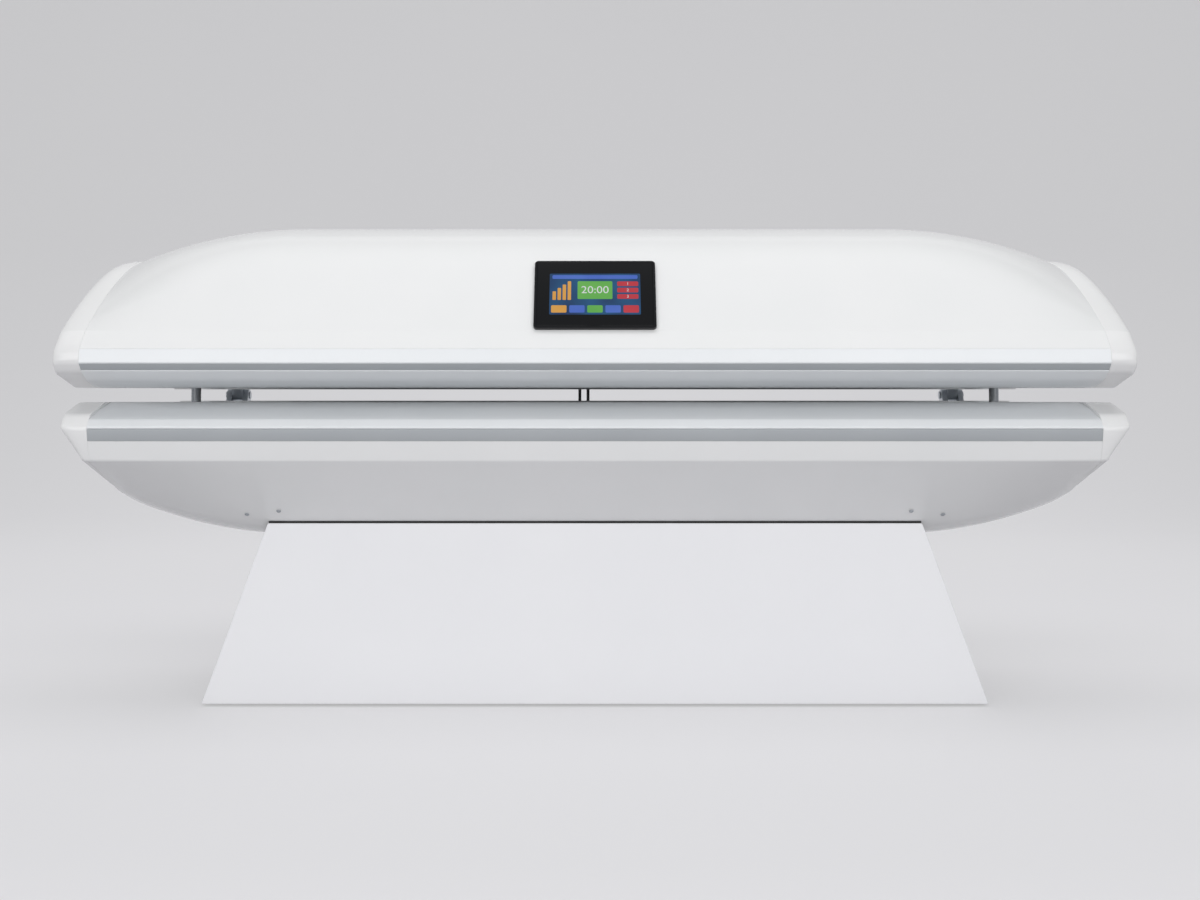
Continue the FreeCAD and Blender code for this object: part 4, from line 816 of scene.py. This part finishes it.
@dataclass
class Tunnel:
    """The lit surfaces: clear sheets, lenses on the LED boards, and end trims, in millimetres."""

    lip: LipForm
    half_width: float = 315.0
    canopy_rise: float = 215.0
    tray_drop: float = 145.0
    sheet: float = 5.0
    canopy_boards: int = 11
    tray_boards: int = 9
    board_gap: float = 25.0
    board_width: float = 62.0
    board_joint: float = 1.5
    board_x: float = 868.0
    pitch: float = 31.0
    lens_radius: float = 3.4
    lens_sink: float = 0.2
    round_mm: float = 0.8

    def drum_sizes(self, half: Half) -> Point:
        """Radius of the lit surface and the height of its centre, in millimetres."""
        rise = self.canopy_rise if half is Half.CANOPY else self.tray_drop
        height = rise - (self.lip.lip_w + self.lip.wall + self.lip.seat)
        radius = (self.half_width ** 2 + height ** 2) / (2 * height)
        return radius, self.lip.gap_z + half.value * (rise - radius)

    def drum(self, half: Half, x: float, length: float) -> Object:
        """Closed cylinder along X with the shape of the tunnel, to cut with."""
        radius, centre = self.drum_sizes(half)
        deselect()
        bpy.ops.mesh.primitive_cylinder_add(
            vertices=192, radius=radius * MM, depth=length * MM,
            location=(x * MM, 0, centre * MM), rotation=(0, math.pi / 2, 0))
        settle(bpy.context.object)
        return bpy.context.object

    def build_lenses(self, half: Half) -> None:
        """Model one lens, repeat it over a board and the board over the arc."""
        boards = self.canopy_boards if half is Half.CANOPY else self.tray_boards
        radius, centre = self.drum_sizes(half)
        reach = radius + self.sheet + self.board_gap
        per_row = int(2 * self.board_x / self.pitch)
        lens = half_ball(self.lens_radius, segments=8, rings=6, upper=False)
        first_x = -(per_row - 1) * self.pitch / 2
        lens.location = (first_x * MM, -self.pitch / 2 * MM, -self.lens_sink * MM)
        settle(lens)
        repeat(lens, per_row, (self.pitch * MM, 0, 0))
        repeat(lens, 2, (0, self.pitch * MM, 0))
        step = 2 * math.atan2((self.board_width + self.board_joint) / 2, reach)
        copies = []
        for i in range(boards):
            angle = (i - (boards - 1) / 2) * step + (0 if half is Half.CANOPY else math.pi)
            copy = twin(lens)
            copy.data.transform(Matrix.Translation((0, 0, centre * MM))
                                @ Matrix.Rotation(angle, 4, "X")
                                @ Matrix.Translation((0, 0, reach * MM)))
            copies.append(copy)
        bpy.data.objects.remove(lens)
        obj = joined(copies)
        obj.name = half.word + "_led_lenses"
        smooth(obj, degrees=60)
        enrol(obj, LENS, half.body)

    def build(self, half: Half) -> None:
        """Dress the clear sheet, which lets light through, and the trims, and add the lenses."""
        sheet = dress_copy(half.word + "_acrylic", ACRYLIC, half.body,
                           self.round_mm)
        sheet.visible_shadow = False
        dress_copy(half.word + "_end_trims", CAP, half.body, self.round_mm)
        self.build_lenses(half)


@dataclass
class Seat:
    """A place on a sloped wall: X along the bed, Y up the slope, Z outwards."""

    centre: Vector
    tilt: float

    def matrix(self) -> Matrix:
        """Matrix from the seat to the frame."""
        return Matrix.Translation(self.centre) @ Matrix.Rotation(self.tilt, 4, "X")


@dataclass(frozen=True)
class Tiles:
    """A row of like tiles on the display, in millimetres from its middle.

    Each tile lies one step on from the last and is taller by the growth.
    """

    first: Point
    size: Point
    count: int = 1
    step: Point = (0.0, 0.0)
    growth: float = 0.0
    corner: float = 2.5

    def centre(self, i: int) -> Point:
        """Middle of a tile."""
        return self.first[0] + self.step[0] * i, self.first[1] + self.step[1] * i


# Layout of the display, and the sizes of its digits
STATUS_BAR = Tiles((0, 40), (162, 9))
TIMER_CARD = Tiles((0, 9), (66, 42))
LEVELS = Tiles((-77, -4), (6.5, 20), count=4, step=(9.5, 4), growth=8, corner=1.2)
CHOICES = Tiles((62, 24), (40, 11), count=3, step=(0, -15))
BUTTONS = Tiles((-68, -35), (29, 17), count=5, step=(34, 0))
BUTTON_LIGHTS = (AMBER_LIGHT, BLUE_LIGHT, GREEN_LIGHT, BLUE_LIGHT, RED_LIGHT)
TIMER_TYPE_MM = 24
CHOICE_TYPE_MM = 9


@dataclass
class TouchScreen:
    """Black bezel and glass with a lit display, in millimetres."""

    seat: Seat
    depth: float = 7.0
    recess: float = 0.2
    film: float = 0.02
    type_depth: float = 0.01
    display: Point = (172.0, 96.0)

    def mount(self, obj: Object, finish: Finish, centre: Point, layer: int) -> None:
        """Lay a film on the glass.

        Args:
            obj: the film, flat at the origin.
            finish: its surface.
            centre: its place along the bed and up the slope.
            layer: how many films lie under it.
        """
        rise = self.depth - self.recess + self.film * layer
        place = Matrix.Translation([v * MM for v in (*centre, rise)])
        obj.data.transform(self.seat.matrix() @ place)
        enrol(obj, finish, "canopy")

    def tile(self, name: str, finish: Finish, row: Tiles, i: int = 0, layer: int = 1) -> None:
        """Model a rounded tile on the glass."""
        deselect()
        bpy.ops.mesh.primitive_plane_add(size=1.0)
        obj = bpy.context.object
        obj.name = name
        obj.scale = (row.size[0] * MM, (row.size[1] + row.growth * i) * MM, 1)
        settle(obj)
        edit_all(obj, "VERT")
        bpy.ops.mesh.bevel(offset=row.corner * MM, segments=5, affect="VERTICES")
        bpy.ops.mesh.select_all(action="SELECT")
        bpy.ops.mesh.extrude_region_move(TRANSFORM_OT_translate={"value": (0, 0, self.film * MM)})
        face_out()
        self.mount(obj, finish, row.centre(i), layer)

    def figures(self, name: str, text: str, centre: Point, height: float) -> None:
        """Set plain white digits on a tile."""
        deselect()
        bpy.ops.object.text_add()
        obj = bpy.context.object
        obj.name = name
        obj.data.body = text
        obj.data.size = height * MM
        obj.data.align_x = "CENTER"
        obj.data.align_y = "CENTER"
        obj.data.extrude = self.type_depth * MM
        obj.data.resolution_u = 4
        bpy.ops.object.convert(target="MESH")
        weld(obj, TYPE_WELD_MM)
        leave_edit()
        self.mount(obj, WHITE_LIGHT, centre, layer=2)

    def build(self) -> None:
        """Dress bezel and glass, then lay out status bar, timer, level bars and buttons."""
        dress_copy("screen_bezel", BEZEL, "canopy", round_mm=1.2)
        dress_copy("screen_glass", GLASS, "canopy", round_mm=0.4)
        self.tile("display_panel", BACKLIGHT, Tiles((0, 0), self.display), layer=0)
        self.tile("display_status_bar", BLUE_LIGHT, STATUS_BAR)
        self.tile("display_timer_card", GREEN_LIGHT, TIMER_CARD)
        self.figures("display_timer", "20:00", TIMER_CARD.first, TIMER_TYPE_MM)
        for i in range(LEVELS.count):
            self.tile(f"display_level_{i}", AMBER_LIGHT, LEVELS, i)
        for i in range(CHOICES.count):
            self.tile(f"display_choice_{i}", RED_LIGHT, CHOICES, i)
            self.figures(f"display_choice_figure_{i}", str(i + 1), CHOICES.centre(i),
                         CHOICE_TYPE_MM)
        for i in range(BUTTONS.count):
            self.tile(f"display_button_{i}", BUTTON_LIGHTS[i], BUTTONS, i)


@dataclass
class Pedestal:
    """Flared panels around the frame, with what stands at their foot, in millimetres."""

    round_mm: float = 1.2
    seal_x: float = 636.0
    top_y: float = 305.0
    top_z: float = 348.0
    seal: Sequence[Point] = ((0.4, 0.05), (0.4, 4.2), (1.4, 4.4), (3.4, 2.9), (3.4, 0.05))
    seal_round: float = 0.4

    def build_seal(self, side: Side) -> None:
        """Model the rubber seal between a panel's top edge and the tray, whose black is painted
        shadow of the gap there.
        """
        rings = [[Vector((x, side.value * (self.top_y - v), self.top_z + w)) * MM
                  for v, w in self.seal] for x in (-self.seal_x, self.seal_x)]
        obj = loft(f"pedestal_{side.word}_seal", rings)
        soften(obj, self.seal_round)
        smooth(obj)
        # The seal's black rubber is painted shadow in the gap under the tray
        enrol(obj, RUBBER, "base")

    def build(self) -> None:
        """Dress the four panels, their seals, whose black paints the gap's shadow, the glides and
        the power entry.
        """
        for side in Side:
            self.build_seal(side)
        for word in ("front", "rear", "left", "right"):
            dress_copy(f"pedestal_{word}_panel", POWDER, "base", self.round_mm)
        dress_copy("floor_glides", RUBBER, "base", round_mm=1.5)
        dress_copy("mains_inlet", BLACK, "base", round_mm=0.8)
        dress_copy("switch_housing", BLACK, "base", round_mm=0.6)
        dress_copy("power_rocker", ROCKER, "rocker", round_mm=0.5)


@dataclass
class Motion:
    """Hinges, gas springs and fans, with the roundings of their edges in millimetres."""

    round_mm: float = 0.8
    shaft_round: float = 0.5
    blade_round: float = 0.4

    def build(self) -> None:
        """Dress what moves and what carries it."""
        dress_copy("hinge_fixed_leaves", ZINC, "base", self.round_mm)
        dress_copy("hinge_moving_leaves", ZINC, "canopy", self.round_mm)
        dress_copy("hinge_pins", ZINC, "base", self.round_mm)
        for half in Half:
            dress_copy(half.word + "_spring_studs", ZINC, half.body,
                       self.shaft_round)
            dress_copy(half.word + "_fan_grilles", GRILLE, half.body,
                       self.round_mm)
        for end in End:
            dress_copy(f"{end.word}_spring_cylinder", ENAMEL, f"{end.word}_cylinder",
                       self.round_mm)
            dress_copy(f"{end.word}_spring_rod", CHROME, f"{end.word}_rod",
                       self.shaft_round)
            for half in Half:
                name = f"{half.word}_{end.word}"
                dress_copy(name + "_rotor", BLACK, name + "_fan", self.blade_round)


@dataclass(frozen=True)
class Softbox:
    """An area light: where it hangs and what it points at, its size in metres and its power."""

    name: str
    place: Place
    aim: Place
    size: Point
    watts: float
    mirrored: bool = True

    def hang(self) -> None:
        """Put the light into the scene."""
        data = bpy.data.lights.new(self.name, "AREA")
        data.shape = "RECTANGLE"
        data.size, data.size_y = self.size
        data.energy = self.watts
        lamp = bpy.data.objects.new(self.name, data)
        lamp.location = self.place
        turn = (Vector(self.aim) - Vector(self.place)).to_track_quat("-Z", "Y")
        lamp.rotation_euler = turn.to_euler()
        lamp.visible_glossy = self.mirrored
        bpy.context.scene.collection.objects.link(lamp)


# Studio lights; glossy surfaces show only the front pair
SOFTBOXES = (
    Softbox("overhead_softbox", place=(0, -0.4, 3.4), aim=(0, 0, 0.6), size=(4.5, 2.2), watts=45,
            mirrored=False),
    Softbox("front_left_softbox", place=(-2.1, -5.2, 2.1), aim=(0, 0, 0.5), size=(4.0, 3.0),
            watts=92),
    Softbox("front_right_softbox", place=(2.1, -5.2, 2.1), aim=(0, 0, 0.5), size=(4.0, 3.0),
            watts=92),
    Softbox("rear_softbox", place=(0, 4.0, 3.8), aim=(0, 0, 0.6), size=(4.0, 1.6), watts=90,
            mirrored=False),
)


@dataclass
class Studio:
    """Pale floor and backdrop in metres, the world's light, and the camera."""

    camera_place: Place = (0.0, -3.135, 0.598)
    lens_mm: float = 43.56
    sensor_mm: float = 36.0
    horizon_px: float = 395.0
    centre_px: float = 595.0
    frame_px: Point = (1200.0, 900.0)
    floor_size: float = 24.0
    floor_y: float = -6.0
    wall_height: float = 9.0
    sweep_width: float = 2.5
    sky: str = "#E4E6E8"
    sky_light: float = 0.38
    sky_seen: float = 0.75

    def build_floor(self) -> None:
        """Model a floor that sweeps up into a backdrop."""
        deselect()
        bpy.ops.mesh.primitive_plane_add(size=self.floor_size, location=(0, self.floor_y, 0))
        floor = bpy.context.object
        floor.name = "studio_floor"
        settle(floor)
        edit_all(floor, "EDGE")
        bpy.ops.mesh.select_all(action="DESELECT")
        leave_edit()
        for edge in floor.data.edges:
            ends = [floor.data.vertices[i].co for i in edge.vertices]
            edge.select = all(end.y > self.floor_y for end in ends)
        bpy.ops.object.mode_set(mode="EDIT")
        rise = (0, 0, self.wall_height)
        bpy.ops.mesh.extrude_region_move(TRANSFORM_OT_translate={"value": rise})
        leave_edit()
        apply_modifier(floor, "BEVEL", width=self.sweep_width, segments=16, limit_method="ANGLE")
        smooth(floor, degrees=60)
        floor.data.materials.append(FLOOR.material())

    def build_world(self) -> None:
        """Set up a pale world that is brighter to the eye than as a light."""
        world = bpy.data.worlds.new("studio_world")
        world.use_nodes = True
        tree = world.node_tree
        back = tree.nodes["Background"]
        back.inputs["Color"].default_value = linear(self.sky)
        seen = add(tree, "LightPath").outputs["Is Camera Ray"]
        power = add(tree, "MapRange", None, Value=seen, To_Min=self.sky_light,
                    To_Max=self.sky_seen)
        tree.links.new(power.outputs[0], back.inputs["Strength"])
        bpy.context.scene.world = world

    def build_camera(self) -> None:
        """Set up a level, shifted camera with the photograph's view."""
        data = bpy.data.cameras.new("photo_camera")
        data.sensor_width = self.sensor_mm
        data.lens = self.lens_mm
        data.shift_x = (self.frame_px[0] / 2 - self.centre_px) / self.frame_px[0]
        data.shift_y = (self.horizon_px - self.frame_px[1] / 2) / self.frame_px[0]
        camera = bpy.data.objects.new("photo_camera", data)
        camera.location = self.camera_place
        camera.rotation_euler = (math.pi / 2, 0, 0)
        bpy.context.scene.collection.objects.link(camera)
        bpy.context.scene.camera = camera

    def build(self) -> None:
        """Set up floor, lights, world and camera."""
        bpy.context.scene.view_settings.view_transform = "Standard"
        self.build_floor()
        for softbox in SOFTBOXES:
            softbox.hang()
        self.build_world()
        self.build_camera()


@dataclass
class Screws:
    """Domed cross-head screws low on the tray's front, in millimetres; places are (x, u)."""

    radius: float = 4.5
    dome: float = 0.45
    slot: Place = (5.2, 1.0, 2.4)
    slot_z: float = 2.0
    places: Sequence[Point] = ((-675, 147), (-611, 135), (611, 135), (675, 147))

    def head(self) -> Object:
        """Model one head over the XY plane."""
        head = half_ball(self.radius, segments=20, rings=10, upper=True)
        edit_all(head)
        bpy.ops.transform.resize(value=(1, 1, self.dome))
        leave_edit()
        for turn in (0.0, math.pi / 2):
            deselect()
            bpy.ops.mesh.primitive_cube_add(size=1.0, location=(0, 0, self.slot_z * MM),
                                            rotation=(0, 0, turn))
            slot = bpy.context.object
            slot.scale = [size * MM for size in self.slot]
            settle(slot)
            carve(head, slot)
        smooth(head, degrees=35)
        return head

    def build(self, tray: Shell) -> None:
        """Set copies of one head on the tray's shell."""
        head = self.head()
        for i, (x, u) in enumerate(self.places):
            place, normal = tray.surface(u, x)
            screw = twin(head)
            screw.name = f"tray_screw_{i}"
            turn = normal.to_track_quat("Z", "Y").to_matrix().to_4x4()
            screw.data.transform(Matrix.Translation(place) @ turn)
            enrol(screw, ENAMEL, "base")
        bpy.data.objects.remove(head)


@dataclass
class Leads:
    """The two corrugated sleeves that carry the canopy's leads past the hinge line."""

    ridge_mm: float = 2.6
    depth_mm: float = 0.7
    facets: int = 20

    def build(self) -> None:
        """Model both sleeves as one piece."""
        low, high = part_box("canopy_leads")
        radius = (high.y - low.y) / 2
        middle_y = (high.y + low.y) / 2
        rows = 2 * round((high.z - low.z) / (self.ridge_mm * MM))
        turns = [2 * math.pi * i / self.facets for i in range(self.facets)]
        pair = []
        for x in (low.x + radius, high.x - radius):
            rings = []
            for k in range(rows + 1):
                reach = radius - (self.depth_mm * MM if k % 2 else 0.0)
                z = low.z + (high.z - low.z) * k / rows
                rings.append([Vector((x + reach * math.cos(t), middle_y + reach * math.sin(t), z))
                              for t in turns])
            pair.append(loft("canopy_lead_sleeves", rings))
        leads = joined(pair)
        smooth(leads, degrees=60)
        leads.data.materials.append(RUBBER.material())
        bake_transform(leads)
        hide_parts("canopy_leads")
        log.info("piece %s: %d faces, %s", leads.name, len(leads.data.polygons), RUBBER.name)


def build_halves(lip: LipForm, tunnel: Tunnel) -> None:
    """Build both halves of the clamshell with their caps, rails and lit surfaces."""
    roof = ShellForm(Half.CANOPY, crease=(36, 120), rise=(352, 286), shoulder=(0.259, 0.445),
                     roof_radius=(900, 520), roof_angle=(16, 22))
    trough = ShellForm(Half.TRAY, crease=(14, 122), rise=(278, 199), shoulder=(0.192, 0.16),
                       floor_u=255, end_lift=10, crease_round=9)
    canopy = Shell(lip, roof, CANOPY_RAIL, cap_length=50, cap_tall=0.94, cap_rim=(4, 4))
    tray = Shell(lip, trough, TRAY_RAIL, cap_length=51, cap_tall=0.95, cap_foot=0.35,
                 cap_rim=(8, 9), sleeve=15)
    for shell in (canopy, tray):
        half = shell.form.half
        skin = shell.build_shell()
        bore_fans(skin, half)
        smooth(skin, degrees=30)
        enrol(skin, SHELL, half.body, [half.word + "_shell"])
        for end in End:
            shell.build_cap(end, tunnel)
        for side in Side:
            shell.build_rail(side)
        tunnel.build(half)
    Screws().build(tray)


def bore_fans(skin: Object, half: Half, radius_mm: float = 56.0, depth_mm: float = 120.0) -> None:
    """Cut the air holes of a half's two fans into its shell."""
    for end in End:
        fan = f"{half.word}_{end.word}_fan"
        spin = next(j for j in frame["joints"] if j["child"] == fan)
        aim = Vector(spin["axis"]).to_track_quat("Z", "Y").to_euler()
        deselect()
        bpy.ops.mesh.primitive_cylinder_add(vertices=64, radius=radius_mm * MM,
                                            depth=depth_mm * MM, location=spin["pos_m"],
                                            rotation=aim)
        settle(bpy.context.object)
        carve(skin, bpy.context.object)


def dress_hidden_nodes() -> None:
    """Give the CAD nodes that stay their finishes."""
    for node, finish in CAD_FINISHES.items():
        obj = frame["nodes"][node]
        obj.data.materials.clear()
        obj.data.materials.append(finish.material())
        log.info("node %s: %s", node, finish.name)


def screen_seat(slope_degrees: float = 57.297) -> Seat:
    """Find the middle of the touch screen's back on the canopy's front."""
    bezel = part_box("screen_bezel")
    slope = math.radians(slope_degrees)
    outward = Vector((0, -math.sin(slope), math.cos(slope)))
    middle = (bezel[0] + bezel[1]) / 2 - outward * (TouchScreen.depth / 2) * MM
    return Seat(middle, slope)


def main() -> None:
    """Build the bed in order, then the studio."""
    low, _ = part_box("canopy_front_rail")
    hinge = next(j for j in frame["joints"] if j["name"] == "canopy_hinge")
    lip = LipForm(half_depth=-low.y / MM, gap_z=hinge["pos_m"][2] / MM)
    tunnel = Tunnel(lip)
    build_halves(lip, tunnel)
    TouchScreen(screen_seat()).build()
    Pedestal().build()
    Motion().build()
    Leads().build()
    dress_hidden_nodes()
    Studio().build()


if __name__ == "__main__":
    main()
